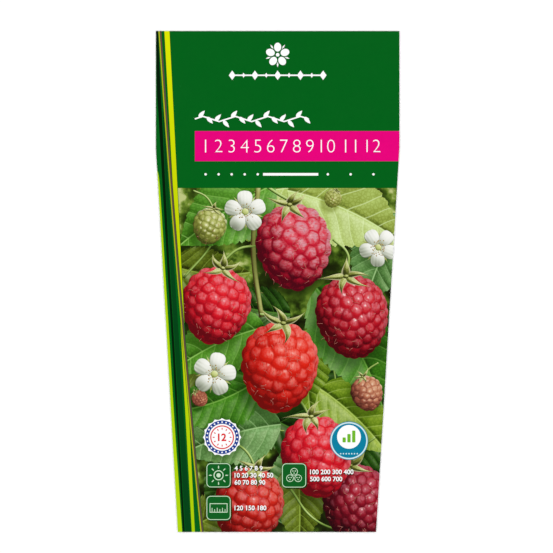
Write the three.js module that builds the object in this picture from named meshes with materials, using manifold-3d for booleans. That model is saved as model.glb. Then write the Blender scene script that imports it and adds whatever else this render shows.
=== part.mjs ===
// Large printed pot label for a raspberry bush: a flat die-cut plastic sheet, straight at the top and
// tapered below to lie against the side of a square nursery pot.
//
// Millimetres. +X to the label's right, +Y to its top edge, +Z up out of the printed face.
// The origin is the centre of the underside. The sheet carries three printed levels, each one ink
// thickness deep: the green field, then the banner, stripes and picture ground, then the picture's
// motifs and the badges, which lie side by side like marquetry with a fine gap round each.

import * as THREE from 'three';
import { mergeVertices } from 'three/addons/utils/BufferGeometryUtils.js';
import Module from 'manifold-3d';

const wasm = await Module();
wasm.setup();

// ---------------------------------------------------------------- driving dimensions

const SHEET = {
  height: 308.5,
  topWidth: 150,
  straightDrop: 72, // below the top edge, where the sides start to taper
  leftTaper: 13.5,
  rightTaper: 14.4,
  thickness: 0.8,
};
const INK = 0.1; // depth of one printed level
const GAP = 0.3; // clear line round each inlaid piece
const CUT_REACH = 2; // how far a cutter runs past both faces of a plate

const HEADER_DROP = 96.7; // depth of the plain green header
const BANNER = { left: 24, drop: 61.6, height: 18.6 };

// The yellow band is straight. The gold line and the plum line beside it sweep across it.
const BAND = { start: 6.8, slope: 0.0528, topWidth: 3.1, bottomWidth: 1.85 };
const SWEEP = { start: 1.93, slope: 0.0666, bow: 5.67e-5 };
const GOLD_WIDTH = 0.7;
const PLUM = { offset: 0.95, width: 0.9 };

// Two darker lines and the lime edge: [drop, left side, right side] from the top left corner.
const DARK_LINE = [[0, 0.05, 1.35], [36, 0.7, 2.9], [55, 1.8, 3.9], [95, 4.1, 5.8],
  [141, 6.7, 8.2], [190, 9.8, 11.1], [240, 12.7, 13.9], [308.5, 16.8, 17.8]];
const DEEP_LINE = [[50, 4.3, 4.7], [95, 6.1, 7.6], [141, 8.6, 10.9], [190, 11.5, 14.2],
  [240, 14.3, 17.2], [308.5, 18.2, 21.7]];
const LIME_EDGE = [[86, 0.8, 1.0], [95, 1.34, 2.36], [141, 3.94, 5.3], [190, 6.74, 8.3],
  [240, 9.59, 11.4], [308.5, 13.5, 16.2]];

const BADGE = { side: 15.3, corner: 2.8 };
// Badges: centre.
const BADGES = [
  ['badge_sun', -36.4, -119.3],
  ['badge_berries', 10.1, -119.4],
  ['badge_ruler', -36.4, -139.4],
];
// Seals: centre, width, scallops and their depth.
const SEALS = [
  ['seal_rosette', -34.2, -95.9, 23.6, 16, 0.9],
  ['seal_round', 43.9, -98, 23.6, 0, 0],
];

// The picture, in layers from front to back. Places and sizes are on the sheet, angles in degrees.
// Berries: centre, width, height, tilt, colour.
const BERRIES = [
  ['berry_top', 10, 21, 47, 55, 6, 0xc9304a],
  ['berry_left', -38, -15, 43, 49, -10, 0xd0242f],
  ['berry_right', 46, -22, 45, 53, 9, 0xd83a28],
  ['berry_middle', 1, -53, 48, 57, -5, 0xbe1c2c],
  ['berry_low', 24, -108, 44, 52, 8, 0xc93848],
  ['berry_foot_left', -18, -139, 43, 50, -12, 0xb8382a],
  ['berry_foot_right', 49, -138, 42, 52, 10, 0x8c1526],
];
const YOUNG_BERRIES = [
  ['young_berry_left', -42, 34, 21, 23, -14, 0xd9a07a],
  ['young_berry_right', 55, -69, 20, 22, 16, 0xd98a6a],
];
// Blossoms: centre, radius, turn.
const BLOSSOMS = [
  ['blossom_top', -20, 43, 13, 20],
  ['blossom_right', 62, 21, 12, 50],
  ['blossom_left', -39, -57, 13.5, 5],
];
// Leaves: foot, length, width, heading, bend along the midrib, colour.
const LEAVES = [
  ['leaf_right', 24, -4, 84, 50, -50, -22, 0x4e8429],
  ['leaf_left', -8, -28, 66, 42, 194, 24, 0x3f7a33],
  ['leaf_top_right', 6, 56, 80, 52, -12, -26, 0xd0ddb0],
  ['leaf_top_left', -2, 60, 70, 48, 206, 14, 0x6a9a45],
  ['leaf_middle_left', -14, -62, 56, 40, 214, -30, 0x5d8f3a],
  ['leaf_low_right', 26, -66, 58, 42, -34, -20, 0x82a04b],
  ['leaf_low_left', 2, -88, 66, 42, 186, 22, 0x7f9f6c],
  ['leaf_foot', 12, -112, 52, 34, -84, -10, 0x637a2a],
  ['leaf_foot_left', -14, -102, 48, 34, 222, 20, 0x35591a],
];
// Stalks run through their points, each with a width at the start and the end.
const STALKS = [
  ['stalk_top', [[-6, 58], [0, 54], [7, 50]], 2.2, 1.8],
  ['stalk_left', [[-12, 22], [-24, 20], [-34, 12]], 1.6, 1.8],
  ['stalk_right', [[34, 26], [43, 17], [43, 6]], 1.6, 1.8],
  ['cane', [[-12, 58], [-15, 20], [-10, -22]], 3.4, 3.0],
];

const BLADE = { rise: 0.62, fall: 1.05 }; // how a leaf widens from its foot and narrows to its tip
const TEETH = 15; // on each side of a leaf
const TOOTH_DEPTH = 0.05; // of the leaf's width
const BERRY = { lobes: 20, lobeDepth: 0.035, narrowing: 0.12 }; // bumps round the outline, and a slimmer tip
const LOBE_STEPS = 5; // outline points for each bump
const CALYX = { sepals: 5, spread: 0.36, lift: 0.46, squash: 0.7 }; // shares of the berry's width and height
const SEPAL = [[-0.5, 0.3], [-0.28, 0.42], [0, 1], [0.28, 0.42]]; // turn and reach of each outline point
const PETALS = 5;
const PETAL = { waist: 0.42, steps: 12 }; // how near the middle the petals part

// How finely curves are drawn: points along a stripe, a stalk, between stations, and so on.
const STEPS = { stripe: 20, stalk: 14, station: 4, picture: 12, corner: 6, seal: 96 };

const EMBLEM = { y: 139.6, radius: 7.6, turn: 90 };
const RULE = { y: 127, length: 56, width: 0.9 };
const SPRIG = { left: -51, y: 100.1, length: 70, sway: 1.6, waves: 3.5, width: 0.9, leaves: 14, steps: 28 };
const SPRIG_LEAF = { length: 5.4, width: 2.5, lean: 48 };
const SEASON = { left: -9, y: 66, length: 34, height: 1.6 };

// ---------------------------------------------------------------- small helpers

const radians = THREE.MathUtils.degToRad;
const yOf = (drop) => SHEET.height / 2 - drop;
const cornerX = -SHEET.topWidth / 2;

/** X of a side of the sheet at a distance below its top edge. */
function sideX(drop, side) {
  const run = SHEET.height - SHEET.straightDrop;
  const taper = side < 0 ? SHEET.leftTaper : SHEET.rightTaper;
  const inset = taper * Math.max(0, drop - SHEET.straightDrop) / run;
  return side * (SHEET.topWidth / 2 - inset);
}

const bandCentre = (drop) => BAND.start + BAND.slope * drop;
const bandHalf = (drop) => THREE.MathUtils.lerp(BAND.topWidth, BAND.bottomWidth, drop / SHEET.height) / 2;
const sweepAt = (drop) => SWEEP.start + SWEEP.slope * drop + SWEEP.bow * drop * drop;

/** The picture starts just right of the yellow band, and lower down just right of the plum line. */
function pictureLeft(drop) {
  const band = bandCentre(drop) + bandHalf(drop);
  const plum = sweepAt(drop) + PLUM.offset + PLUM.width / 2;
  return cornerX + Math.max(band, plum) + GAP;
}

/** Points at equal drops between two levels, made by a function of the drop. */
function side(fromDrop, toDrop, steps, xAt) {
  const points = [];
  for (let i = 0; i <= steps; i += 1) {
    const drop = THREE.MathUtils.lerp(fromDrop, toDrop, i / steps);
    points.push(new THREE.Vector2(xAt(drop), yOf(drop)));
  }
  return points;
}

/** A flat plate with the given outline, standing on the level floor. */
function plate(outline, floor, depth) {
  const geometry = new THREE.ExtrudeGeometry(new THREE.Shape(outline), { depth, bevelEnabled: false });
  geometry.translate(0, 0, floor);
  return geometry;
}

function toSolid(geometry) {
  const bare = geometry.clone();
  bare.deleteAttribute('normal');
  bare.deleteAttribute('uv');
  const merged = mergeVertices(bare, 1e-5);
  return new wasm.Manifold(new wasm.Mesh({
    numProp: 3,
    vertProperties: new Float32Array(merged.attributes.position.array),
    triVerts: new Uint32Array(merged.index.array),
  }));
}

function toGeometry(solid) {
  const mesh = solid.getMesh();
  const geometry = new THREE.BufferGeometry();
  geometry.setAttribute('position', new THREE.BufferAttribute(new Float32Array(mesh.vertProperties), 3));
  geometry.setIndex(new THREE.BufferAttribute(new Uint32Array(mesh.triVerts), 1));
  geometry.computeVertexNormals();
  return geometry;
}

/** The largest single body of a solid that cuts may have parted. */
function largestBody(solid) {
  const bodies = solid.decompose();
  return bodies.reduce((best, body) => (body.volume() > best.volume() ? body : best));
}

const label = new THREE.Group();

function addPart(name, geometry, color, roughness = 0.45) {
  const material = new THREE.MeshStandardMaterial({ color, roughness, metalness: 0 });
  const mesh = new THREE.Mesh(geometry, material);
  mesh.name = name;
  label.add(mesh);
}

// ---------------------------------------------------------------- outlines

function sheetOutline() {
  const outline = [];
  for (const drop of [0, SHEET.straightDrop, SHEET.height]) {
    outline.push(new THREE.Vector2(sideX(drop, -1), yOf(drop)));
  }
  for (const drop of [SHEET.height, SHEET.straightDrop, 0]) {
    outline.push(new THREE.Vector2(sideX(drop, 1), yOf(drop)));
  }
  return outline;
}

function pictureOutline() {
  const left = side(HEADER_DROP, SHEET.height, STEPS.picture, pictureLeft);
  const right = side(SHEET.height, HEADER_DROP, 1, (drop) => sideX(drop, 1));
  return [...left, ...right];
}

/** A stripe down the label, between two functions of the drop. */
function stripeOutline(fromDrop, toDrop, leftAt, rightAt) {
  const left = side(fromDrop, toDrop, STEPS.stripe, (drop) => cornerX + leftAt(drop));
  const right = side(toDrop, fromDrop, STEPS.stripe, (drop) => cornerX + rightAt(drop));
  return [...left, ...right];
}

/** A stripe whose sides are smooth curves through a few stations. */
function stationOutline(stations) {
  const curve = (column) => new THREE.SplineCurve(
    stations.map((row) => new THREE.Vector2(cornerX + row[column], yOf(row[0]))));
  const steps = stations.length * STEPS.station;
  return [...curve(1).getPoints(steps), ...curve(2).getPoints(steps).reverse()];
}

function barOutline(left, y, length, height) {
  const corners = [[0, -0.5], [1, -0.5], [1, 0.5], [0, 0.5]];
  return corners.map(([along, up]) => new THREE.Vector2(left + length * along, y + height * up));
}

function roundedSquare(x, y, size, corner) {
  const outline = [];
  const inner = size / 2 - corner;
  for (let quarter = 0; quarter < 4; quarter += 1) {
    for (let i = 0; i <= STEPS.corner; i += 1) {
      const angle = (quarter + i / STEPS.corner) * Math.PI / 2;
      const cx = inner * (quarter === 0 || quarter === 3 ? 1 : -1);
      const cy = inner * (quarter < 2 ? 1 : -1);
      outline.push(new THREE.Vector2(x + cx + corner * Math.cos(angle), y + cy + corner * Math.sin(angle)));
    }
  }
  return outline;
}

/** A closed curve round a centre, its radius a function of the angle. */
function radialOutline(x, y, steps, radiusAt) {
  const outline = [];
  for (let i = 0; i < steps; i += 1) {
    const angle = 2 * Math.PI * i / steps;
    const radius = radiusAt(angle);
    outline.push(new THREE.Vector2(x + radius * Math.cos(angle), y + radius * Math.sin(angle)));
  }
  return outline;
}

/** Turns local points by a tilt and moves them to a centre. */
function placed(points, x, y, tilt) {
  const middle = new THREE.Vector2();
  const centre = new THREE.Vector2(x, y);
  return points.map((point) => point.clone().rotateAround(middle, radians(tilt)).add(centre));
}

/** A berry: broad shoulders, a narrower round tip below, and a bump for each outer drupelet. */
function berryOutline(x, y, width, height, tilt, grow) {
  const points = [];
  const steps = BERRY.lobes * LOBE_STEPS;
  for (let i = 0; i < steps; i += 1) {
    const angle = 2 * Math.PI * i / steps;
    const lobe = 1 - BERRY.lobeDepth * (1 - Math.abs(Math.cos(angle * BERRY.lobes / 2)));
    const narrow = 1 + BERRY.narrowing * Math.sin(angle);
    const px = (width / 2 * lobe + grow) * Math.cos(angle) * narrow;
    const py = (height / 2 * lobe + grow) * Math.sin(angle);
    points.push(new THREE.Vector2(px, py));
  }
  return placed(points, x, y, tilt);
}

/** The star of pointed sepals on a berry's shoulder. */
function calyxOutline(x, y, width, height, tilt, grow) {
  const reach = width * CALYX.spread;
  const pitch = 2 * Math.PI / CALYX.sepals;
  const points = [];
  for (let i = 0; i < CALYX.sepals; i += 1) {
    for (const [turn, share] of SEPAL) {
      const angle = Math.PI / 2 + pitch * (i + turn);
      const radius = reach * share + grow;
      const rise = height * CALYX.lift + radius * Math.sin(angle) * CALYX.squash;
      points.push(new THREE.Vector2(radius * Math.cos(angle), rise));
    }
  }
  return placed(points, x, y, tilt);
}

function blossomOutline(x, y, radius, turn, grow) {
  return radialOutline(x, y, PETALS * PETAL.steps, (angle) => {
    const petal = Math.abs(Math.cos((angle - radians(turn)) * PETALS / 2));
    return radius * (PETAL.waist + (1 - PETAL.waist) * Math.sqrt(petal)) + grow;
  });
}

const bladePeak = (BLADE.rise / (BLADE.rise + BLADE.fall)) ** BLADE.rise
  * (BLADE.fall / (BLADE.rise + BLADE.fall)) ** BLADE.fall;

/** Half a leaf's width over its full width, from the foot at 0 to the drawn-out tip at 1. */
function bladeHalf(t) {
  return t ** BLADE.rise * (1 - t) ** BLADE.fall / bladePeak / 2;
}

/** A toothed, pointed leaf whose midrib bends evenly. */
function leafOutline(x, y, length, width, heading, bend, grow) {
  const rib = (t, offset) => {
    const turn = radians(heading) + radians(bend) * t;
    const mean = radians(heading) + radians(bend) * t / 2;
    const along = new THREE.Vector2(Math.cos(mean), Math.sin(mean)).multiplyScalar(length * t);
    const across = new THREE.Vector2(-Math.sin(turn), Math.cos(turn)).multiplyScalar(offset);
    return new THREE.Vector2(x, y).add(along).add(across);
  };
  const edge = [];
  const steps = TEETH * 2;
  for (let i = 1; i < steps; i += 1) {
    const t = i / steps;
    const notch = i % 2 === 0 ? TOOTH_DEPTH : 0;
    edge.push([t, width * bladeHalf(t) * (1 - 2 * notch) + grow]);
  }
  const right = edge.map(([t, half]) => rib(t, -half));
  const left = edge.map(([t, half]) => rib(t, half)).reverse();
  return [rib(-grow / length, 0), ...right, rib(1 + grow / length, 0), ...left];
}

/** A stalk along a smooth curve, its width changing evenly. */
function stalkOutline(points, startWidth, endWidth, grow) {
  const curve = new THREE.SplineCurve(points.map(([x, y]) => new THREE.Vector2(x, y)));
  const left = [];
  const right = [];
  for (let i = 0; i <= STEPS.stalk; i += 1) {
    const t = i / STEPS.stalk;
    const half = THREE.MathUtils.lerp(startWidth, endWidth, t) / 2 + grow;
    const tangent = curve.getTangent(t);
    const normal = new THREE.Vector2(-tangent.y, tangent.x);
    left.push(curve.getPoint(t).addScaledVector(normal, half));
    right.push(curve.getPoint(t).addScaledVector(normal, -half));
  }
  return [...left, ...right.reverse()];
}

// ---------------------------------------------------------------- sheet, field, banner, stripes

const fieldFloor = SHEET.thickness;
const designFloor = fieldFloor + INK;
const motifFloor = designFloor + INK;

addPart('card', plate(sheetOutline(), 0, SHEET.thickness), 0xf4f4f0, 0.5);
addPart('green_field', plate(sheetOutline(), fieldFloor, INK), 0x01611a);

function bannerOutline() {
  const bottom = BANNER.drop + BANNER.height;
  const left = cornerX + BANNER.left;
  return [
    new THREE.Vector2(left, yOf(bottom)),
    ...side(bottom, SHEET.straightDrop, 1, (drop) => sideX(drop, 1)),
    new THREE.Vector2(sideX(0, 1), yOf(BANNER.drop)),
    new THREE.Vector2(left, yOf(BANNER.drop)),
  ];
}

addPart('banner', plate(bannerOutline(), designFloor, INK), 0xe6007c);
addPart('picture_ground', plate(pictureOutline(), designFloor, INK), 0x24401a);

/** A stripe between two distances to the left and right of the sweeping gold line's middle. */
function sweepOutline(leftReach, rightReach) {
  const leftAt = (drop) => sweepAt(drop) - leftReach;
  const rightAt = (drop) => sweepAt(drop) + rightReach;
  return stripeOutline(0, SHEET.height, leftAt, rightAt);
}

function addStripes() {
  const goldHalf = GOLD_WIDTH / 2;
  const plumLeft = PLUM.offset - PLUM.width / 2;
  const plumRight = PLUM.offset + PLUM.width / 2;
  addPart('gold_line', plate(sweepOutline(goldHalf, goldHalf), designFloor, INK), 0xb0b41a);
  addPart('plum_line', plate(sweepOutline(-plumLeft, plumRight), designFloor, INK), 0x5f4840);
  addPart('dark_line', plate(stationOutline(DARK_LINE), designFloor, INK), 0x031f05);
  addPart('deep_line', plate(stationOutline(DEEP_LINE), designFloor, INK), 0x054516);
  addPart('lime_edge', plate(stationOutline(LIME_EDGE), designFloor, INK), 0xabd008);

  // The two fine lines cross the yellow band and part it in two.
  const band = stripeOutline(0, SHEET.height,
    (drop) => bandCentre(drop) - bandHalf(drop), (drop) => bandCentre(drop) + bandHalf(drop));
  const crossing = sweepOutline(goldHalf + GAP, plumRight + GAP);
  const parted = toSolid(plate(band, designFloor, INK))
    .subtract(toSolid(plate(crossing, designFloor - CUT_REACH, INK + 2 * CUT_REACH)))
    .decompose()
    .sort((a, b) => b.volume() - a.volume())
    .slice(0, 2)
    .sort((a, b) => b.boundingBox().max[1] - a.boundingBox().max[1]);
  addPart('yellow_band_upper', toGeometry(parted[0]), 0xd2dc06);
  addPart('yellow_band_lower', toGeometry(parted[1]), 0xaaca02);
}
addStripes();

// ---------------------------------------------------------------- header ornaments

function addHeaderOrnaments() {
  const emblem = blossomOutline(0, EMBLEM.y, EMBLEM.radius, EMBLEM.turn, 0);
  addPart('emblem', plate(emblem, designFloor, INK), 0xffffff);
  const rule = barOutline(-RULE.length / 2, RULE.y, RULE.length, RULE.width);
  addPart('rule', plate(rule, designFloor, INK), 0xffffff);

  const sway = (t) => SPRIG.sway * Math.sin(2 * Math.PI * SPRIG.waves * t);
  const at = (t) => [SPRIG.left + SPRIG.length * t, SPRIG.y + sway(t)];
  const stemPoints = [];
  for (let i = 0; i <= SPRIG.steps; i += 1) {
    stemPoints.push(at(i / SPRIG.steps));
  }
  let sprig = toSolid(plate(stalkOutline(stemPoints, SPRIG.width, SPRIG.width, 0), designFloor, INK));
  for (let i = 0; i < SPRIG.leaves; i += 1) {
    const [x, y] = at((i + 0.5) / SPRIG.leaves);
    const up = i % 2 === 0 ? 1 : -1;
    const leaf = leafOutline(x, y, SPRIG_LEAF.length, SPRIG_LEAF.width, up * SPRIG_LEAF.lean, 0, 0);
    sprig = sprig.add(toSolid(plate(leaf, designFloor, INK)));
  }
  addPart('sprig', toGeometry(largestBody(sprig)), 0xffffff);

  const season = barOutline(SEASON.left, SEASON.y, SEASON.length, SEASON.height);
  addPart('season_bar', plate(season, designFloor, INK), 0xffffff);
}
addHeaderOrnaments();

// ---------------------------------------------------------------- picture motifs, front to back

/** Every inlaid piece of the picture as [name, colour, outline for a given growth]. */
function inlaidPieces() {
  const pieces = [];
  for (const [name, x, y, width, lobes, depth] of SEALS) {
    const radiusAt = (grow) => (angle) => width / 2 - depth * Math.abs(Math.sin(angle * lobes / 2)) + grow;
    const color = lobes > 0 ? 0xf6f6f6 : 0x0e7fa6;
    pieces.push([name, color, (grow) => radialOutline(x, y, STEPS.seal, radiusAt(grow))]);
  }
  for (const [name, x, y] of BADGES) {
    pieces.push([name, 0x016a22, (grow) => roundedSquare(x, y, BADGE.side + 2 * grow, BADGE.corner + grow)]);
  }
  for (const [name, x, y, radius, turn] of BLOSSOMS) {
    pieces.push([name, 0xf3f3ea, (grow) => blossomOutline(x, y, radius, turn, grow)]);
  }
  for (const [name, x, y, width, height, tilt] of [...BERRIES, ...YOUNG_BERRIES]) {
    const calyx = `calyx_${name}`;
    pieces.push([calyx, 0x9cb868, (grow) => calyxOutline(x, y, width, height, tilt, grow)]);
  }
  for (const [name, x, y, width, height, tilt, color] of [...BERRIES, ...YOUNG_BERRIES]) {
    pieces.push([name, color, (grow) => berryOutline(x, y, width, height, tilt, grow)]);
  }
  for (const [name, points, startWidth, endWidth] of STALKS) {
    pieces.push([name, 0x8aa85a, (grow) => stalkOutline(points, startWidth, endWidth, grow)]);
  }
  for (const [name, x, y, length, width, heading, bend, color] of LEAVES) {
    pieces.push([name, color, (grow) => leafOutline(x, y, length, width, heading, bend, grow)]);
  }
  return pieces;
}

function addPicture() {
  const picture = toSolid(plate(pictureOutline(), motifFloor - CUT_REACH, INK + 2 * CUT_REACH));
  let taken = null;
  for (const [name, color, outline] of inlaidPieces()) {
    let piece = toSolid(plate(outline(0), motifFloor, INK)).intersect(picture);
    if (taken) {
      piece = piece.subtract(taken);
    }
    addPart(name, toGeometry(largestBody(piece)), color);
    const room = toSolid(plate(outline(GAP), motifFloor - CUT_REACH, INK + 2 * CUT_REACH));
    taken = taken ? taken.add(room) : room;
  }
}
addPicture();

export default label;
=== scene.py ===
"""Large printed pot label for a raspberry bush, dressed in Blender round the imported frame.

The label is a die-cut white plastic sheet with flat spot inks and one printed picture. Every fruit,
leaf, stalk and flower of the picture is modelled in the round in millimetres. The turn of its surface,
its seams and the shade that falls on it are stored on its points. Then it is pressed to the thickness
of an ink film, and its ink draws the light from what was stored.

Millimetres while a piece is made, metres once it is finished. +X to the label's right, +Y to its top.
"""

import logging
import math
import random
from contextlib import contextmanager
from dataclasses import dataclass, field
from enum import Enum
from typing import ClassVar, Iterator, Sequence

import bpy
import numpy as np
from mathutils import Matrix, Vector


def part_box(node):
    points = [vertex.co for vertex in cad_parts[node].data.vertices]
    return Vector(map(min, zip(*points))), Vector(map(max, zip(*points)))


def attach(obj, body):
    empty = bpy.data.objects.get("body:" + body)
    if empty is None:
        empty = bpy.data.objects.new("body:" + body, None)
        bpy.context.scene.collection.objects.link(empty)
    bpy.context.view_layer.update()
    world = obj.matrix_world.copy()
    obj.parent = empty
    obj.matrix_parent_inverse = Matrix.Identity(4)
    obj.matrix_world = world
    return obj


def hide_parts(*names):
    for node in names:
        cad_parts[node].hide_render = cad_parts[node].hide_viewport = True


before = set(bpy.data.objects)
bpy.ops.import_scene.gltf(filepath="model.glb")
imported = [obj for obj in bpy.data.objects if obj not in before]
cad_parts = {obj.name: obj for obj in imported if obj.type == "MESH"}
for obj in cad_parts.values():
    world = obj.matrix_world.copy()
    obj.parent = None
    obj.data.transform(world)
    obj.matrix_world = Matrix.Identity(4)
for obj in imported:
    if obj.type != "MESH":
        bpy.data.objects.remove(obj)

Piece = bpy.types.Object
Socket = bpy.types.NodeSocket
Row = Sequence[float]

logging.basicConfig(level=logging.INFO, format="%(name)s: %(message)s")
log = logging.getLogger("pot_label")

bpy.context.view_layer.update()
MM = 0.001
BODY = "root"
TOUCH = 1e-3  # what lies nearer than this counts as touching
LETTER = 10.0  # the size that numbers are set in before they are scaled to their height

LIGHT = Vector((0.36, 0.54, 0.76)).normalized()  # towards the light that the printed picture was lit by
GLINT = (LIGHT + Vector((0, 0, 1))).normalized()  # a surface that faces this way glints at the reader


# ---------------------------------------------------------------- numbers and colours


def linear(colour: str) -> tuple[float, ...]:
    """Turns an sRGB hex colour to the linear red, green and blue that a shader reads, and an alpha of 1."""
    shares = [int(colour[i:i + 2], 16) / 255 for i in (0, 2, 4)]
    return (*(s / 12.92 if s <= 0.04045 else ((s + 0.055) / 1.055) ** 2.4 for s in shares), 1.0)


def scaled(colour: str, share: float) -> str:
    """Makes a hex colour darker or lighter by a share."""
    return "".join(f"{min(255, round(int(colour[i:i + 2], 16) * share)):02X}" for i in (0, 2, 4))


def ease(values: np.ndarray, start: float, end: float) -> np.ndarray:
    """Rises smoothly from 0 at start to 1 at end, for each of the values."""
    share = np.clip((values - start) / (end - start), 0, 1)
    return share * share * (3 - 2 * share)


def polar(reach: float, angle: float, at: Row = (0, 0)) -> tuple[float, float]:
    """Returns the place at a reach and an angle in degrees from another place."""
    return (at[0] + reach * math.cos(math.radians(angle)), at[1] + reach * math.sin(math.radians(angle)))


def per_mm(size: float) -> float:
    """Returns the scale of a pattern whose cells have this size in millimetres."""
    return 1 / (size * MM)


# ---------------------------------------------------------------- the bench


def take(*pieces: Piece) -> None:
    """Leaves edit mode and selects these pieces alone, the first one active.

    Args:
        pieces: The pieces to select.
    """
    if bpy.context.object and bpy.context.object.mode != "OBJECT":
        bpy.ops.object.mode_set(mode="OBJECT")
    bpy.ops.object.select_all(action="DESELECT")
    for piece in pieces:
        piece.select_set(True)
    if pieces:
        bpy.context.view_layer.objects.active = pieces[0]


@contextmanager
def editing(piece: Piece, chosen: np.ndarray | None = None) -> Iterator[None]:
    """Opens a piece in edit mode and leaves it at the end.

    Args:
        piece: The piece to shape.
        chosen: True for each point to select, or None for all of them.
    """
    take(piece)
    if chosen is not None:
        for parts in (piece.data.polygons, piece.data.edges):
            parts.foreach_set("select", np.zeros(len(parts), bool))
        piece.data.vertices.foreach_set("select", np.ascontiguousarray(chosen, bool))
    bpy.ops.object.mode_set(mode="EDIT")
    bpy.ops.mesh.select_mode(type="VERT")
    if chosen is None:
        bpy.ops.mesh.select_all(action="SELECT")
    yield
    bpy.ops.object.mode_set(mode="OBJECT")


def started(name: str) -> Piece:
    """Names the piece that was just made, and returns it."""
    bpy.context.object.name = bpy.context.object.data.name = name
    return bpy.context.object


def primitive(kind: str, name: str, **settings: object) -> Piece:
    """Adds a mesh primitive with nothing else selected, and names it.

    Args:
        kind: Which primitive it is.
        name: The piece's name.
        settings: The primitive's own settings.

    Returns:
        The new piece.
    """
    take()
    getattr(bpy.ops.mesh, f"primitive_{kind}_add")(**settings)
    return started(name)


def copied(piece: Piece, name: str) -> Piece:
    """Copies a piece together with its mesh.

    Args:
        piece: The piece to copy.
        name: The copy's name.

    Returns:
        The copy.
    """
    twin = piece.copy()
    twin.data = piece.data.copy()
    twin.name = name
    bpy.context.scene.collection.objects.link(twin)
    return twin


def joined(pieces: Sequence[Piece], name: str) -> Piece:
    """Joins pieces into one mesh and names it.

    Args:
        pieces: The pieces to join.
        name: The name of the whole.

    Returns:
        The joined piece.
    """
    take(*pieces)
    if len(pieces) > 1:
        bpy.ops.object.join()
    return started(name)


def place(piece: Piece, at: Row = (0, 0, 0), turn: Row = (0, 0, 0), size: Row = (1, 1, 1)) -> Piece:
    """Sizes, turns and moves a piece, in this order, and applies all of it to the mesh.

    Args:
        piece: The piece to place.
        at: Where its origin goes.
        turn: Degrees about X, then Y, then Z.
        size: Its scale along X, Y and Z.

    Returns:
        The same piece.
    """
    take(piece)
    piece.scale = size
    piece.rotation_euler = [math.radians(angle) for angle in turn]
    piece.location = at
    bpy.ops.object.transform_apply(location=True, rotation=True, scale=True)
    return piece


def modified(piece: Piece, kind: str, **settings: object) -> Piece:
    """Adds a modifier to a piece and applies it.

    Args:
        piece: The piece to change.
        kind: The modifier's type.
        settings: The modifier's own settings.

    Returns:
        The same piece.
    """
    take(piece)
    modifier = piece.modifiers.new(kind.title(), kind)
    for key, value in settings.items():
        setattr(modifier, key, value)
    bpy.ops.object.modifier_apply(modifier=modifier.name)
    return piece


def rows(piece: Piece, what: str = "co") -> np.ndarray:
    """Reads the places of a piece's points, or with "normal" the ways that they face.

    Args:
        piece: The piece to read.
        what: What to read of each point.

    Returns:
        One row of three for each point.
    """
    values = np.empty(len(piece.data.vertices) * 3, np.float32)
    piece.data.vertices.foreach_get(what, values)
    return values.reshape(-1, 3)


def lift(piece: Piece, heights: np.ndarray) -> None:
    """Raises each point of a piece by its own height, for a relief that follows a formula.

    Args:
        piece: The piece to shape.
        heights: How far each of its points goes up.
    """
    places = rows(piece)
    places[:, 2] += heights
    piece.data.vertices.foreach_set("co", places.ravel())
    piece.data.update()


def store(piece: Piece, **values: np.ndarray) -> None:
    """Keeps a number or a direction on each point of a piece, for its ink to read.

    Args:
        piece: The piece that carries them.
        values: The attribute's name, and its numbers or rows of three.
    """
    layers = piece.data.attributes
    for name, numbers in values.items():
        kind, key = ("FLOAT_VECTOR", "vector") if numbers.ndim == 2 else ("FLOAT", "value")
        layer = layers.get(name) or layers.new(name, kind, "POINT")
        layer.data.foreach_set(key, np.ascontiguousarray(numbers, np.float32).ravel())


def outwards(piece: Piece) -> Piece:
    """Turns all of a piece's faces outwards.

    Args:
        piece: A closed piece.

    Returns:
        The same piece.
    """
    with editing(piece):
        bpy.ops.mesh.normals_make_consistent(inside=False)
    return piece


def closed(piece: Piece, depth: float = 1.0) -> Piece:
    """Closes an open surface with a wall down from its rim and a flat floor.

    Args:
        piece: A surface with one rim.
        depth: How far the floor lies under the surface's lowest point.

    Returns:
        The same piece, now a closed body.
    """
    floor = float(rows(piece)[:, 2].min()) - depth
    with editing(piece):
        bpy.ops.mesh.region_to_loop()
        bpy.ops.mesh.extrude_edges_move(TRANSFORM_OT_translate={"value": (0, 0, -depth)})
        bpy.ops.transform.resize(value=(1, 1, 0), center_override=(0, 0, floor))
        bpy.ops.mesh.edge_face_add()
    return outwards(piece)


def cut_off(piece: Piece, at: Row = (0, 0, 0), beyond: Row = (0, 0, -1)) -> Piece:
    """Cuts off what lies beyond a plane and closes each opening with a face of its own.

    Args:
        piece: A closed piece.
        at: A place on the plane.
        beyond: The way that the plane faces, towards what goes.

    Returns:
        The same piece, closed again.
    """
    with editing(piece):
        bpy.ops.mesh.bisect(plane_co=at, plane_no=beyond, clear_outer=True)
        bpy.ops.mesh.edge_face_add()
    return piece


def raised(piece: Piece, low: float, high: float) -> Piece:
    """Makes a flat shape a plate between two heights.

    Args:
        piece: A flat shape lying at height 0.
        low: The height of its underside.
        high: The height of its face.

    Returns:
        The same piece, now a closed plate.
    """
    with editing(place(piece, at=(0, 0, low))):
        bpy.ops.mesh.extrude_region_move(TRANSFORM_OT_translate={"value": (0, 0, high - low)})
    return outwards(piece)


def disc(corners: int, at: Row, size: Row, turn: float = 0) -> Piece:
    """Lays out a flat disc, or with four corners a diamond, by its centre, half width and half height."""
    piece = primitive("circle", "flat_shape", vertices=corners, radius=1, fill_type="NGON")
    return place(piece, at=(*at, 0), turn=(0, 0, turn), size=(*size, 1))


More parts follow.
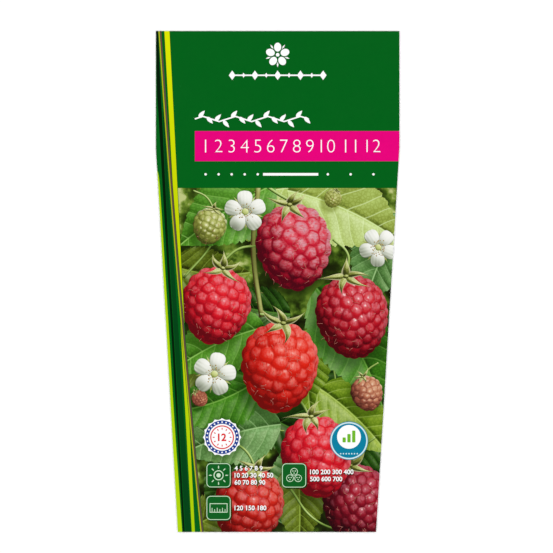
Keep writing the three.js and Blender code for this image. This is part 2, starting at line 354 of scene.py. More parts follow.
def wreath(count: int, corners: int, at: Row, reach: float, size: Row, start: float = 90) -> list[Piece]:
    """Lays out discs round a centre, each turned to point away from it.

    Args:
        count: How many discs there are.
        corners: How many corners each has.
        at: The wreath's centre.
        reach: From there to each disc's centre.
        size: Each disc's half length and half width.
        start: The angle of the first, in degrees.

    Returns:
        The flat shapes, at height 0.
    """
    angles = [start + 360 / count * index for index in range(count)]
    return [disc(corners, polar(reach, angle, at), size, angle) for angle in angles]


def tile(at: Row, size: Row, round_off: float = 0.0) -> Piece:
    """Lays out a flat bar or tile.

    Args:
        at: Its centre.
        size: Its width and height.
        round_off: How far its corners are rounded off.

    Returns:
        The flat shape, at height 0.
    """
    piece = place(primitive("plane", "flat_tile", size=1), at=(*at, 0), size=(*size, 1))
    if round_off:
        with editing(piece):
            bpy.ops.mesh.bevel(offset=round_off, segments=6, affect="VERTICES")
    return piece


def hollow(piece: Piece, line: float) -> Piece:
    """Takes out the middle of a flat shape.

    Args:
        piece: The flat shape.
        line: How wide a line stays along its rim.

    Returns:
        The same shape, now a frame.
    """
    with editing(piece):
        bpy.ops.mesh.inset(thickness=line)
        bpy.ops.mesh.delete(type="FACE")
    return piece


def ring(corners: int, at: Row, reach: float, line: float) -> Piece:
    """Lays out a flat round ring by its centre, its outer reach and the width of its line."""
    return hollow(disc(corners, at, (reach, reach)), line)


def digits(text: str, at: Row, height: float, weight: float = 0.0, from_left: bool = False) -> Piece:
    """Sets plain numbers in the built-in letter and makes them a flat mesh.

    Args:
        text: The numbers.
        at: The middle of the line, or of its left end.
        height: How tall they stand.
        weight: How much bolder they are, as a share of the letter's size.
        from_left: Whether the line starts at its place.

    Returns:
        The flat shape, at height 0.
    """
    take()
    bpy.ops.object.text_add()
    letters = bpy.context.object.data
    letters.body, letters.size, letters.offset, letters.resolution_u = text, LETTER, weight * LETTER, 4
    bpy.ops.object.convert(target="MESH")
    piece = started("digits")
    low, high = rows(piece).min(0), rows(piece).max(0)
    share = height / float(high[1] - low[1])
    middle = low if from_left else (low + high) / 2
    corner = (at[0] - share * float(middle[0]), at[1] - share * float(low[1] + high[1]) / 2, 0)
    return place(piece, size=(share, share, 1), at=corner)


def strands(name: str, routes: Sequence[Sequence[Row]], start: float, end: float, sides: int = 5,
            steps: int = 10) -> Piece:
    """Draws round strands through points as one bevelled curve, and makes it a mesh.

    Args:
        name: The piece's name.
        routes: The points of each strand.
        start: How thick a strand is at its first point.
        end: How thick it is at its last.
        sides: How finely it is rounded.
        steps: How many steps it takes from one point to the next.

    Returns:
        The strands, closed at their ends.
    """
    take()
    bpy.ops.curve.primitive_bezier_curve_add()
    curve = bpy.context.object.data
    curve.splines.clear()
    for route in routes:
        knots = curve.splines.new("BEZIER").bezier_points
        knots.add(len(route) - 1)
        for index, (knot, at) in enumerate(zip(knots, route)):
            knot.co = (*at, 0)
            knot.radius = (start + (end - start) * index / (len(route) - 1)) / 2
            knot.handle_left_type = knot.handle_right_type = "AUTO"
    curve.resolution_u, curve.bevel_resolution = steps, sides
    curve.bevel_depth, curve.use_fill_caps = 1, True
    bpy.ops.object.convert(target="MESH")
    piece = started(name)
    with editing(piece):
        bpy.ops.mesh.remove_doubles(threshold=1e-4)  # joins each end's cap to its tube
    return outwards(piece)


# ---------------------------------------------------------------- inks and plastics


class Recipe:
    """A material under way: its nodes, and the place on the label that its patterns follow."""

    def __init__(self, name: str) -> None:
        """Starts the material on Blender's own shader.

        Args:
            name: What the material is called.
        """
        self.material = bpy.data.materials.new(name)
        self.material.use_nodes = True
        self.tree = self.material.node_tree
        self.place = self.add("TexCoord", out=3)

    def add(self, kind: str, *values: object, out: int = 0, stops: Sequence[tuple[float, str]] = (),
            **settings: object) -> Socket:
        """Adds one node with its settings and links. A texture reads the place on the label.

        Args:
            kind: The node's type, without its ShaderNode in front.
            values: What its first sockets get: another node's socket, a hex colour or a plain value.
            out: Which of its outputs is wanted.
            stops: A colour ramp's places and hex colours.
            settings: Its other sockets by their names, with _ for a space, and its own settings.

        Returns:
            The wanted output.
        """
        node = self.tree.nodes.new("ShaderNode" + kind)
        sockets = {socket.identifier.replace(" ", "_"): socket for socket in node.inputs}
        chosen = list(zip(node.inputs, values))
        if kind.startswith("Tex") and sockets:
            chosen.append((sockets["Vector"], self.place))
        for key, value in settings.items():
            if key in sockets:
                chosen.append((sockets[key], value))
            else:
                setattr(node, key, value)
        for socket, value in chosen:
            if isinstance(value, Socket):
                self.tree.links.new(value, socket)
            else:
                socket.default_value = linear(value) if isinstance(value, str) else value
        for index, (position, colour) in enumerate(stops):
            elements = node.color_ramp.elements
            element = elements[index] if index < len(elements) else elements.new(position)
            element.position, element.color = position, linear(colour)
        return node.outputs[out]

    def chain(self, kind: str, start: object, *steps: tuple, **settings: object) -> Socket:
        """Adds a row of nodes, each of which works on what the one before it gave.

        Args:
            kind: The nodes' type, without its ShaderNode in front.
            start: What the row starts from.
            steps: The first values of each node. What the last one gave comes after them.
            settings: What the nodes have in common.

        Returns:
            The last node's output.
        """
        for step in steps:
            start = self.add(kind, *step, start, **settings)
        return start


PLUS = {"operation": "MULTIPLY_ADD"}  # each step adds a value times its weight
TIMES = {"operation": "MULTIPLY"}
GRADE = {"interpolation_type": "SMOOTHSTEP"}


@dataclass(frozen=True)
class Finish:
    """An even colour with a faint mottle, and a skin with the orange peel of varnish or bare plastic."""

    name: str
    hue: str = "FFFFFF"
    mottle: float = 0.012
    mottle_mm: float = 2.5
    roughness: float = 0.25
    specular: float = 0.14
    ior: float = 1.49  # varnish and polypropylene alike
    peel: float = 0.6  # how strongly the ripples show
    peel_mm: float = 1.1  # spacing of the varnish's ripples
    peel_depth_mm: float = 0.0012
    wear: float = 0.05  # how far the gloss wanders
    wear_mm: float = 14.0

    def colour(self, m: Recipe) -> Socket:
        """Draws the even colour with its mottle.

        Args:
            m: The material under way.

        Returns:
            The colour's socket.
        """
        mottle = m.add("TexNoise", Scale=per_mm(self.mottle_mm), Detail=3.0)
        return m.add("ValToRGB", mottle, stops=[(0.3, scaled(self.hue, 1 - self.mottle)),
                                                (0.7, scaled(self.hue, 1 + self.mottle))])

    def material(self) -> bpy.types.Material:
        """Builds the material, once.

        Returns:
            The material, with its colour, its skin and its gloss.
        """
        if self.name in bpy.data.materials:
            return bpy.data.materials[self.name]
        m = Recipe(self.name)
        peel = m.add("TexNoise", Scale=per_mm(self.peel_mm), Detail=2.0)
        bump = m.add("Bump", Height=peel, Strength=self.peel, Distance=self.peel_depth_mm * MM)
        worn = m.add("TexNoise", Scale=per_mm(self.wear_mm), Detail=3.0)
        rough = m.add("MapRange", worn, 0.0, 1.0, self.roughness - self.wear, self.roughness + self.wear)
        sockets = m.tree.nodes["Principled BSDF"].inputs
        for name, source in (("Base Color", self.colour(m)), ("Normal", bump), ("Roughness", rough)):
            m.tree.links.new(source, sockets[name])
        sockets["Specular IOR Level"].default_value = self.specular
        sockets["IOR"].default_value = self.ior
        return m.material


@dataclass(frozen=True)
class FadingInk(Finish):
    """A printed stripe whose colour shifts evenly down the label."""

    stops: tuple[tuple[float, str], ...] = ()
    reach_mm: float = 154.0

    def colour(self, m: Recipe) -> Socket:
        """Draws the colours from the label's top to its bottom.

        Args:
            m: The material under way.

        Returns:
            The colour's socket.
        """
        height = m.add("SeparateXYZ", m.place, out=1)
        down = m.add("MapRange", height, self.reach_mm * MM, -self.reach_mm * MM)
        return m.add("ValToRGB", down, stops=self.stops)


@dataclass(frozen=True)
class PictureInk(Finish):
    """Process inks that draw a lit surface: the light is worked out from the way its form once faced."""

    tones: str = "202020 808080 F0F0F0"  # from the darkest to the lightest
    level: float = 0.60  # how light a form prints where it lies flat
    gain: float = 1.15  # how strongly its slopes show
    grain: float = 0.10  # how much the tone wanders
    grain_mm: float = 1.6
    shade_depth: float = 0.62

    def toward(self, m: Recipe, stored: Socket, way: Row) -> Socket:
        """Says how squarely a stored direction faces a way: 1 where they agree, 0 from a right angle on."""
        turn = m.add("VectorMath", stored, tuple(way), out=1, operation="DOT_PRODUCT")
        return m.add("Math", turn, 0.0, operation="MAXIMUM")

    def lit(self, m: Recipe) -> Socket:
        """Works out how light each place is.

        Args:
            m: The material under way.

        Returns:
            The light's socket, from 0, dark, to 1, light.
        """
        form = m.add("Attribute", out=1, attribute_name="form")
        noise = m.add("TexNoise", Scale=per_mm(self.grain_mm), Detail=4.0)
        flat = self.level - self.gain * LIGHT.z - self.grain / 2
        return m.chain("Math", flat, (self.toward(m, form, LIGHT), self.gain), (noise, self.grain), **PLUS)

    def painted(self, m: Recipe, lit: Socket, *layers: tuple[Socket, str]) -> Socket:
        """Turns light to colour, darker where a neighbour's shade falls, and lays more inks over it.

        Args:
            m: The material under way.
            lit: How light each place is.
            layers: How much of an ink shows, and its hex colour.

        Returns:
            The colour's socket.
        """
        shade = m.add("Attribute", out=2, attribute_name="shade")
        left = m.add("Math", shade, -self.shade_depth, 1.0, **PLUS)
        dim = m.add("Math", lit, left, **TIMES)
        tones = self.tones.split()
        stops = [(index / (len(tones) - 1), tone) for index, tone in enumerate(tones)]
        colour = m.add("ValToRGB", dim, stops=stops)
        for share, top in layers:
            colour = m.add("Mix", Factor_Float=share, A_Color=colour, B_Color=top, out=2, data_type="RGBA")
        return colour

    def colour(self, m: Recipe) -> Socket:
        """Draws the lit surface."""
        return self.painted(m, self.lit(m))


@dataclass(frozen=True)
class FruitInk(PictureInk):
    """The inks of a raspberry: glassy drupelets with glints, and a downy pale bloom on their tops that is
    paler on the lit side, in part a printed highlight.
    """

    bead_light: float = 0.42  # how much light a drupelet's own turn gives
    body_light: float = 0.48  # how much the whole fruit's turn gives
    base_light: float = -0.02
    # the pale of the bloom and of the down, laid on most where the light falls, so partly a printed highlight
    bloom: str = "D98A98"
    bloom_share: float = 0.5
    bloom_start: float = 0.82  # how squarely a drupelet's skin must face outward before it carries bloom
    # the down is a printed rim light: pale only along the fruit's lit edge
    down: float = 0.45  # how much the down shows along the lit side
    lean: float = 0.5  # how far the bloom shifts to the lit side
    glint: str = "FFE8E4"
    glint_share: float = 0.5
    glint_power: float = 170.0  # the higher, the smaller the glint
    sheen: str = "F08A96"
    sheen_share: float = 0.3
    sheen_power: float = 14.0
    # printed shade: how much the flesh darkens in the seams between drupelets
    seam_depth: float = 0.42
    seam_power: float = 2.5
    grain: float = 0.18
    grain_mm: float = 2.4
    fine: float = 0.32
    fine_mm: float = 0.9
    streak_mm: float = 0.8
    streak: Row = (1.0, 0.35, 1.0)  # how far the streaks on the skin are drawn out, along each axis

    def colour(self, m: Recipe) -> Socket:
        """Draws the flesh with printed shade in its seams, the bloom on the drupelets' tops with a printed
        highlight on the lit side, the down as a printed rim light, and their sheen and glints.

        Args:
            m: The material under way.

        Returns:
            The colour's socket.
        """
        form, body = (m.add("Attribute", out=1, attribute_name=key) for key in ("form", "body"))
        seam, tone, shade = (m.add("Attribute", out=2, attribute_name=key)
                             for key in ("seam", "tone", "shade"))
        drawn = m.add("VectorMath", m.place, self.streak, **TIMES)
        speckle = m.add("TexNoise", Scale=per_mm(self.fine_mm), Detail=3.0)
        streak = m.add("TexNoise", Vector=drawn, Scale=per_mm(self.streak_mm), Detail=3.0)
        blotch = m.add("TexNoise", Scale=per_mm(self.grain_mm), Detail=5.0)
        bead, whole, gleam = (self.toward(m, way, light)
                              for way, light in ((form, LIGHT), (body, LIGHT), (form, GLINT)))
        # printed shade in the seams between drupelets
        narrow = m.add("Math", seam, self.seam_power, operation="POWER")
        open_share = m.add("Math", narrow, -self.seam_depth, 1.0, **PLUS)
        lit = m.chain("Math", self.base_light, (bead, self.bead_light), (whole, self.body_light), **PLUS)
        lit = m.chain("Math", m.add("Math", lit, open_share, **TIMES), (tone, self.grain),
                      (speckle, self.fine), (1.0, -(self.grain + self.fine) / 2), **PLUS)

        lean = m.add("VectorMath", body, tuple(LIGHT * self.lean), operation="ADD")
        lean = m.add("VectorMath", lean, operation="NORMALIZE")
        outward = m.add("VectorMath", form, lean, out=1, operation="DOT_PRODUCT")
        edge = m.add("SeparateXYZ", body, out=2)
        top, clear_of_seam, patch, stroke, day, rim, side, some = (
            m.add("MapRange", value, start, end, 0.0, 1.0, **GRADE) for value, start, end in (
                (outward, self.bloom_start, 0.97), (seam, 0.92, 0.45), (blotch, 0.30, 0.60),
                (streak, 0.30, 0.62), (whole, 0.05, 0.95), (edge, 0.62, 0.10), (whole, 0.1, 0.6),
                (tone, 0.15, 0.75)))
        clear = m.add("Math", shade, -1.0, 1.0, **PLUS)
        uneven = m.add("Math", stroke, 0.6, 0.4, **PLUS)
        # printed highlight: the bloom is pale on the drupelets' tops and strongest on the fruit's lit side
        bloom = m.chain("Math", self.bloom_share, (top,), (clear_of_seam,), (patch,), (day,), (uneven,),
                        **TIMES)
        # printed rim light: pale down only near the fruit's lit edge
        down = m.chain("Math", self.down, (rim,), (side,), (stroke,), **TIMES)
        soft, sharp = (m.add("Math", gleam, power, operation="POWER")
                       for power in (self.sheen_power, self.glint_power))
        sheen = m.chain("Math", self.sheen_share, (soft,), (clear,), (stroke,), **TIMES)
        glint = m.chain("Math", self.glint_share, (sharp,), (clear,), (some,), **TIMES)
        return self.painted(m, lit, (bloom, self.bloom), (down, self.bloom), (sheen, self.sheen),
                            (glint, self.glint))


@dataclass(frozen=True)
class LeafInk(PictureInk):
    """The inks of a leaf: quilted green with a pale rib, paler side veins and a fine net between them."""

    line: str = "rib"  # the stored number that its pale line follows: the rib, or a sepal's edge
    line_from: float = 0.55
    line_to: float = 0.22
    line_share: float = 0.8
    vein: str = "A8C67A"
    vein_share: float = 0.45
    net: float = 0.15  # how much lighter the middle of a mesh of the net is
    net_mm: float = 2.2
    cloud: float = 0.5  # how much the leaf's tone drifts over its length
    cloud_mm: float = 16.0
    sheen: str = "E4EEC0"
    sheen_share: float = 0.25
    sheen_power: float = 40.0

    def colour(self, m: Recipe) -> Socket:
        """Draws the blade, its net, its veins and its sheen.

        Args:
            m: The material under way.

        Returns:
            The colour's socket.
        """
        form = m.add("Attribute", out=1, attribute_name="form")
        line, vein, shade = (m.add("Attribute", out=2, attribute_name=key)
                             for key in (self.line, "vein", "shade"))
        cells = m.add("TexVoronoi", Scale=per_mm(self.net_mm), feature="DISTANCE_TO_EDGE")
        cloud = m.add("TexNoise", Scale=per_mm(self.cloud_mm), Detail=2.0)
        to_vein = m.add("Math", vein, 0.5, operation="PINGPONG")
        net, side, rib = (m.add("MapRange", value, start, end, 0.0, share, **GRADE)
                          for value, start, end, share in (
                              (cells, 0.0, 0.22, self.net), (to_vein, 0.06, 0.015, self.vein_share),
                              (line, self.line_from, self.line_to, self.line_share)))
        lit = m.chain("Math", self.lit(m), (1.0, -0.35), (net, 1.0), (cloud, self.cloud), **PLUS)
        clear = m.add("Math", shade, -0.75, 1.0, **PLUS)
        gleam = m.add("Math", self.toward(m, form, GLINT), self.sheen_power, operation="POWER")
        gleam = m.add("Math", gleam, self.sheen_share, **TIMES)
        return self.painted(m, lit, *((m.add("Math", share, clear, **TIMES), top) for share, top in (
            (side, self.vein), (rib, self.vein), (gleam, self.sheen))))


@dataclass(frozen=True)
class ShadeInk(PictureInk):
    """The inks of what lies far behind: foliage out of focus, bright at the top and dark in the gaps."""

    blur_mm: float = 15.0
    fine: float = 0.35  # how much smaller patches break up the broad ones
    upper: Row = (-0.03, 0.06)  # metres up the label between which the light from above sets in
    upper_light: float = 0.30

    def colour(self, m: Recipe) -> Socket:
        """Draws soft patches of leaf and gap.

        Args:
            m: The material under way.

        Returns:
            The colour's socket.
        """
        broad = m.add("TexNoise", Scale=per_mm(self.blur_mm), Detail=1.0)
        fine = m.add("TexNoise", Scale=per_mm(self.blur_mm / 4), Detail=2.0)
        height = m.add("SeparateXYZ", m.place, out=1)
        upper = m.add("MapRange", height, *self.upper, 0.0, self.upper_light)
        patch = m.add("MapRange", m.add("Math", fine, self.fine, broad, **PLUS), 0.50, 0.92, **GRADE)
        return self.painted(m, m.add("Math", patch, upper, operation="ADD"))


# Calendered polypropylene: a cool white that is a little cloudy, with a dull sheen.
SHEET_PLASTIC = Finish("white_polypropylene_sheet", roughness=0.5, peel_mm=0.7, peel_depth_mm=0.002,
                        hue="F2F2EE", mottle=0.008, mottle_mm=9.0)
# Offset spot inks under a gloss varnish: even, opaque colours with crisp edges and one broad, soft shine.
WHITE_INK = Finish("opaque_white_ink", "FBFBFB", mottle=0.006)
PALE_INK = Finish("pale_green_ink", "C9E2C4")
BLUE_INK = Finish("deep_blue_ink", "23408E")
RED_INK = Finish("signal_red_ink", "D8232A")
SHADOW_INK = Finish("drop_shadow_ink", "16290C")
PALE_TEAL_INK = Finish("pale_teal_ink", "CFE6EA")
FRESH_INK = Finish("fresh_green_ink", "6FB52C")
BADGE_INK = Finish("badge_green_ink", "0E5C20")

# The same inks over the solids that stay. The yellow ones are screened, so they fade down the label.
CAD_FINISHES = {
    "card": SHEET_PLASTIC,
    "green_field": Finish("deep_green_spot_ink", "005E18"),
    "banner": Finish("magenta_spot_ink", "E30079"),
    "gold_line": Finish("olive_gold_ink", "B0B41A"),
    "plum_line": Finish("plum_brown_ink", "5F4840"),
    "dark_line": Finish("near_black_green_ink", "001C04"),
    "deep_line": Finish("shaded_green_ink", "004215"),
    "lime_edge": Finish("lime_spot_ink", "ABD008"),
    "yellow_band_upper": FadingInk("yellow_band_ink_upper", stops=((0.0, "D9E200"), (0.35, "C3D200"),
                                                                (1.0, "AACA00"))),
    "yellow_band_lower": FadingInk("yellow_band_ink_lower", stops=((0.0, "D2DC06"), (1.0, "AACA02"))),
    "seal_round": Finish("teal_spot_ink", "0A7E9E"),
    **dict.fromkeys(("rule", "sprig", "season_bar", "seal_rosette"), WHITE_INK),
    **dict.fromkeys(("badge_sun", "badge_berries", "badge_ruler"), BADGE_INK),
}


class Ripeness(Enum):
    """How ripe a fruit is and how it is lit, which settles its inks."""

    # Four-colour offset inks: glassy flesh that darkens into its seams with printed shade, dusted pink on top
    # where it is dry and paler on the lit side, which is a printed highlight.
    PINK = FruitInk("fruit_ink_pink", tones="4A0412 A20A24 D02036 E05C6A", bloom="D0969F", bloom_share=1.0,
                    bloom_start=0.74, down=0.9, glint_share=0.3, streak=(0.35, 1.0, 1.0))
    RED = FruitInk("fruit_ink_red", tones="600610 B40A1C DC1C28 EC4C4E", bloom="E0868E", bloom_share=0.65)
    ORANGE = FruitInk("fruit_ink_orange_red", tones="6C0A08 B8140C DA2414 EC4634", bloom="EC9088",
                      bloom_share=0.40, sheen="FAA090", sheen_share=0.5, glint_share=0.3, seam_depth=0.36)
    CRIMSON = FruitInk("fruit_ink_crimson", tones="44040A 94081A BE1624 DA464C", bloom="CE7C84",
                       bloom_share=0.65, sheen_share=0.5, glint_share=1.0)
    WINE = FruitInk("fruit_ink_wine", tones="2A040A 680818 981426 C03846", bloom="AE6272", bloom_share=0.6,
                    glint_share=0.9)
    RUSSET = FruitInk("fruit_ink_russet", tones="540806 9E120C CC281A E65440", bloom="DC8A80",
                      bloom_share=0.5, glint_share=0.6)
    YOUNG = FruitInk("fruit_ink_unripe", tones="3C4014 7A8034 AEB464 DEDEA8", bloom="ECEAC8",
                     bloom_share=0.7, glint="FFFDE8", sheen="F2F0D2", down=0.7)
    TURNING = FruitInk("fruit_ink_turning", tones="3A1A12 8C4A38 BE7C5C E0B490", bloom="E4C4A8",
                       bloom_share=0.7, glint="FFF4E4", sheen="F0D4BC", down=0.7)


class LeafTone(Enum):
    """The shade of green of a leaf, which settles its inks."""

    # Four-colour offset inks: a matt, quilted green with paler lines, and a soft sheen where it turns up.
    PALE = LeafInk("leaf_ink_pale", tones="586720 8FA043 B1C66B CFE497", vein="D5E8A6",
                   vein_share=0.55, sheen="F0F6D6")
    FRESH = LeafInk("leaf_ink_fresh", tones="1B3906 3B6F16 5B982D 88C456", vein="92C45F")
    MID = LeafInk("leaf_ink_mid", tones="142C04 285B0D 428118 6DAA3D", vein="75A844")
    LIGHT = LeafInk("leaf_ink_light", tones="314704 5A7912 829E28 ADC253", vein="B1C863")
    GREY = LeafInk("leaf_ink_grey_green", tones="20390F 436B30 65914E 8FBE7B", vein="A0C685")
    OLIVE = LeafInk("leaf_ink_olive", tones="242A04 46550E 66791C 96AA41", vein="92AA42")
    DEEP = LeafInk("leaf_ink_deep", tones="0A1602 193907 2A550D 4A7F27", vein="4D802A")


# Four-colour offset inks of the rest: foliage with no edges left, waxy stalks, felted sepals, thin petals.
GROUND_INK = ShadeInk("out_of_focus_foliage_ink", shade_depth=0.78,
                      tones="100E02 202E06 405A14 728C30 BAC27E")
STALK_INK = PictureInk("stalk_process_ink", tones="2E3E12 6C8A3A A4BE66 DCE8AC", grain=0.16)
CANE_INK = PictureInk("cane_process_ink", tones="3A2A12 6E7436 A0A45C D4D49C", grain=0.2)
SEPAL_INK = LeafInk("sepal_process_ink", tones="34380F 70772E A8AE62 DCDFA6", vein="DAD4A6",
                    line="edge", line_from=0.55, line_to=0.98, line_share=0.7, vein_share=0.0, net_mm=1.1,
                    grain=0.2, grain_mm=0.9)
THREAD_INK = PictureInk("style_process_ink", tones="6A2A20 B0685A DCA090 F0D0C0")
PETAL_INK = PictureInk("petal_process_ink", tones="6A705C AEB4A2 E0E2D8 F8F8F2", level=0.66, gain=1.3,
                       grain=0.04, shade_depth=0.5)
STAMEN_INK = PictureInk("stamen_process_ink", tones="4E5A1C 8E9A48 CCD48E F4F6D0", grain=0.1)
ANTHER_INK = PictureInk("anther_process_ink", tones="4A3810 866828 BE9C50 EAD490", grain=0.1)


# ---------------------------------------------------------------- the picture


def finish(piece: Piece, ink: Finish, slot: str, *nodes: str) -> Piece:
    """Turns a finished piece to metres, gives it its ink and fixes it to the label.

    Args:
        piece: The piece, in millimetres.
        ink: Its finish.
        slot: The record's material slot. Not used.
        nodes: The CAD nodes that it stands for, if there are such nodes.

    Returns:
        The same piece.
    """
    place(piece, size=(MM, MM, MM))
    piece.data.materials.clear()
    piece.data.materials.append(ink.material())
    piece.data.shade_flat()
    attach(piece, BODY)
    known = [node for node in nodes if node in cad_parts]
    if known:
        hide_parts(*known)
    log.info("%s: %d faces, %s", piece.name, len(piece.data.polygons), ink.name)
    return piece


@dataclass(frozen=True)
class Caster:
    """An oval that keeps the light from what lies under it."""

    at: Row
    half: Row
    tilt: float
    order: float
    strength: float


@dataclass
class Picture:
    """The printed picture: where it ends, which motif lies over which, and the shade they cast."""

    node: str = "picture_ground"
    step: float = 0.0044  # one motif's face above the next
    relief: float = 0.0036  # what is left of a motif's form once it is pressed
    reach: float = 3.6  # how far a shade falls from what casts it
    core: float = 0.86  # the share of a caster's oval in which its shade is full
    fringe: float = 1.28  # the share of it at which its shade ends
    casters: list[Caster] = field(default_factory=list)

    def __post_init__(self) -> None:
        """Reads the picture's outline and level from its CAD node."""
        low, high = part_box(self.node)
        self.floor, self.face = low.z / MM, high.z / MM
        outline = np.unique(np.round(rows(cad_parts[self.node])[:, :2] / MM, 4), axis=0)
        self.outline = outline[np.argsort(np.arctan2(*(outline - outline.mean(0)).T[::-1]))]
        self.low, self.high = outline.min(0), outline.max(0)

    def clip(self, piece: Piece) -> Piece:
        """Cuts off what runs out of the picture, one side of its outline at a time.

        Args:
            piece: A closed motif.

        Returns:
            The same piece, closed again.
        """
        for start, end in zip(self.outline, np.roll(self.outline, -1, 0)):
            along = end - start
            outward = np.array((along[1], -along[0])) / np.hypot(*along)
            beyond = (rows(piece)[:, :2] - start) @ outward
            if beyond.max() > TOUCH and beyond.min() < 0:
                cut_off(piece, (*start, 0), (*outward, 0))
        return piece

    def shade(self, places: np.ndarray, order: float) -> np.ndarray:
        """Works out the shade that falls on a motif.

        Args:
            places: Where its points are.
            order: Where it stands in the picture's overlaps.

        Returns:
            A share for each point, 0 in full light.
        """
        away = self.reach * np.array(LIGHT.xy.normalized())
        clear = np.ones(len(places))
        for caster in self.casters:
            if caster.order <= order:
                continue
            angle = math.radians(-caster.tilt)
            x, y = (places[:, :2] + away - caster.at).T
            across = (x * math.cos(angle) - y * math.sin(angle)) / caster.half[0]
            along = (x * math.sin(angle) + y * math.cos(angle)) / caster.half[1]
            clear *= 1 - caster.strength * ease(-np.hypot(across, along), -self.fringe, -self.core)
        return 1 - clear

    def printed(self, piece: Piece, order: float, ink: Finish, slot: str, *nodes: str,
                cut: float | None = None) -> None:
        """Stores how a motif in the round faces, presses it to the thickness of its ink and finishes it.

        Args:
            piece: The motif, closed.
            order: Where it stands in the picture's overlaps.
            ink: Its ink.
            slot: The record's material slot.
            nodes: The CAD nodes that it stands for.
            cut: The height that it is cut off at, where it has no flat underside yet.
        """
        if "form" not in piece.data.attributes:
            store(piece, form=rows(piece, "normal"))
        if cut is not None:
            cut_off(piece, (0, 0, cut))
        places = rows(piece)
        store(piece, shade=self.shade(places, order))
        height = places[:, 2]
        under = height < height.min() + TOUCH
        top = float(height.max())
        share = self.relief / (top - float(height[~under].min()))
        with editing(piece, ~under):
            bpy.ops.transform.resize(value=(1, 1, share), center_override=(0, 0, top))
            bpy.ops.transform.translate(value=(0, 0, self.face + self.step * order - top))
        with editing(piece, under):
            bpy.ops.transform.translate(value=(0, 0, self.face - float(height.min())))
        finish(self.clip(piece), ink, slot, *nodes)


PICTURE = Picture()


# ---------------------------------------------------------------- fruit


@dataclass
class FruitForm:
    """A raspberry in the round: a core set all over with drupelets, modelled once and copied."""

    name: str
    seed: int
    drupelet: float  # from one drupelet to the next
    width: float = 46.0
    height: float = 53.0
    narrowing: float = 0.12  # how much slimmer the tip is than the shoulder
    voxel: float = 0.45
    depth: float = 0.70  # a drupelet's radius, as a share of the distance to the next
    cell: float = 0.84  # the skin that each drupelet takes, over that distance squared
    elbow_room: float = 1.2  # how near another may come before it is pushed off, over that distance
    rounds: int = 80
    push: float = 0.2  # how much of the way it is pushed in one round
    spread: Row = (0.91, 1.07)  # the least and the largest drupelet, over the common one
    buried: float = 0.34  # how deep the core lies under the skin, over the distance to the next
    shaded: float = 88.0  # how much of the skin, in percent, takes some of its seam's shade

    def spots(self) -> tuple[np.ndarray, np.ndarray]:
        """Sets out the drupelets by chance and lets them jostle until they are packed.

        Returns:
            Their centres, one row each, and their radii.
        """
        rng = np.random.default_rng(self.seed)
        half = np.array((self.width, self.height, self.width)) / 2
        skin = math.pi * self.width * (self.width + 2 * self.height) / 3
        count = round(skin / (self.cell * self.drupelet ** 2))
        spots = rng.normal(size=(count, 3))
        for _ in range(self.rounds):
            spots /= np.linalg.norm(spots / half, axis=1)[:, None]
            apart = spots[:, None] - spots[None]
            gap = np.linalg.norm(apart, axis=2) + self.height * 2 * np.eye(count)
            near = np.maximum(0, self.elbow_room * self.drupelet - gap) / gap
            spots += self.push * (apart * near[:, :, None]).sum(1)
        spots /= np.linalg.norm(spots / half, axis=1)[:, None]
        spots[:, ::2] *= 1 + self.narrowing * spots[:, 1:2] / half[1]
        outward = spots / half ** 2
        outward /= np.linalg.norm(outward, axis=1)[:, None]
        radii = self.depth * self.drupelet * rng.uniform(*self.spread, count)
        return spots - outward * radii[:, None], radii

    def model(self) -> Piece:
        """Models the fruit and marks its seams.

        Returns:
            The fruit, upright, with its centre at the origin.
        """
        half = self.width / 2 - self.buried * self.drupelet
        core = primitive("uv_sphere", self.name, segments=48, ring_count=24, radius=half)
        modified(core, "SIMPLE_DEFORM", deform_method="TAPER", deform_axis="Z", factor=self.narrowing / half)
        place(core, turn=(-90, 0, 0), size=(1, 1, self.height / self.width))
        drupelet = primitive("ico_sphere", "drupelet", subdivisions=3, radius=1)
        centres, radii = self.spots()
        parts = [core]
        for centre, radius in zip(centres, radii):
            outward = Vector(centre / np.array((self.width, self.height, self.width)) ** 2)
            turn = [math.degrees(angle) for angle in outward.to_track_quat("Z", "Y").to_euler()]
            parts.append(place(copied(drupelet, "drupelet"), at=centre, turn=turn,
                               size=(radius * 0.95, radius * 1.05, radius)))
        bpy.data.objects.remove(drupelet)
        fruit = modified(joined(parts, self.name), "REMESH", mode="VOXEL", voxel_size=self.voxel)
        modified(fruit, "SMOOTH", factor=0.5, iterations=2)
        self.mark(fruit, centres)
        return fruit

    def mark(self, fruit: Piece, centres: np.ndarray) -> None:
        """Stores how near each point is to a seam, and a tone for its drupelet.

        Args:
            fruit: The modelled fruit.
            centres: The drupelets' centres.
        """
        tones = np.random.default_rng(self.seed).random(len(centres))
        apart = np.linalg.norm(rows(fruit)[:, None, :] - centres[None].astype(np.float32), axis=2)
        two = np.partition(apart, 1, axis=1)[:, :2]
        margin = two[:, 1] - two[:, 0]
        seam = 1 - np.clip(margin / np.percentile(margin, self.shaded), 0, 1)
        store(fruit, seam=seam, tone=tones[apart.argmin(1)])


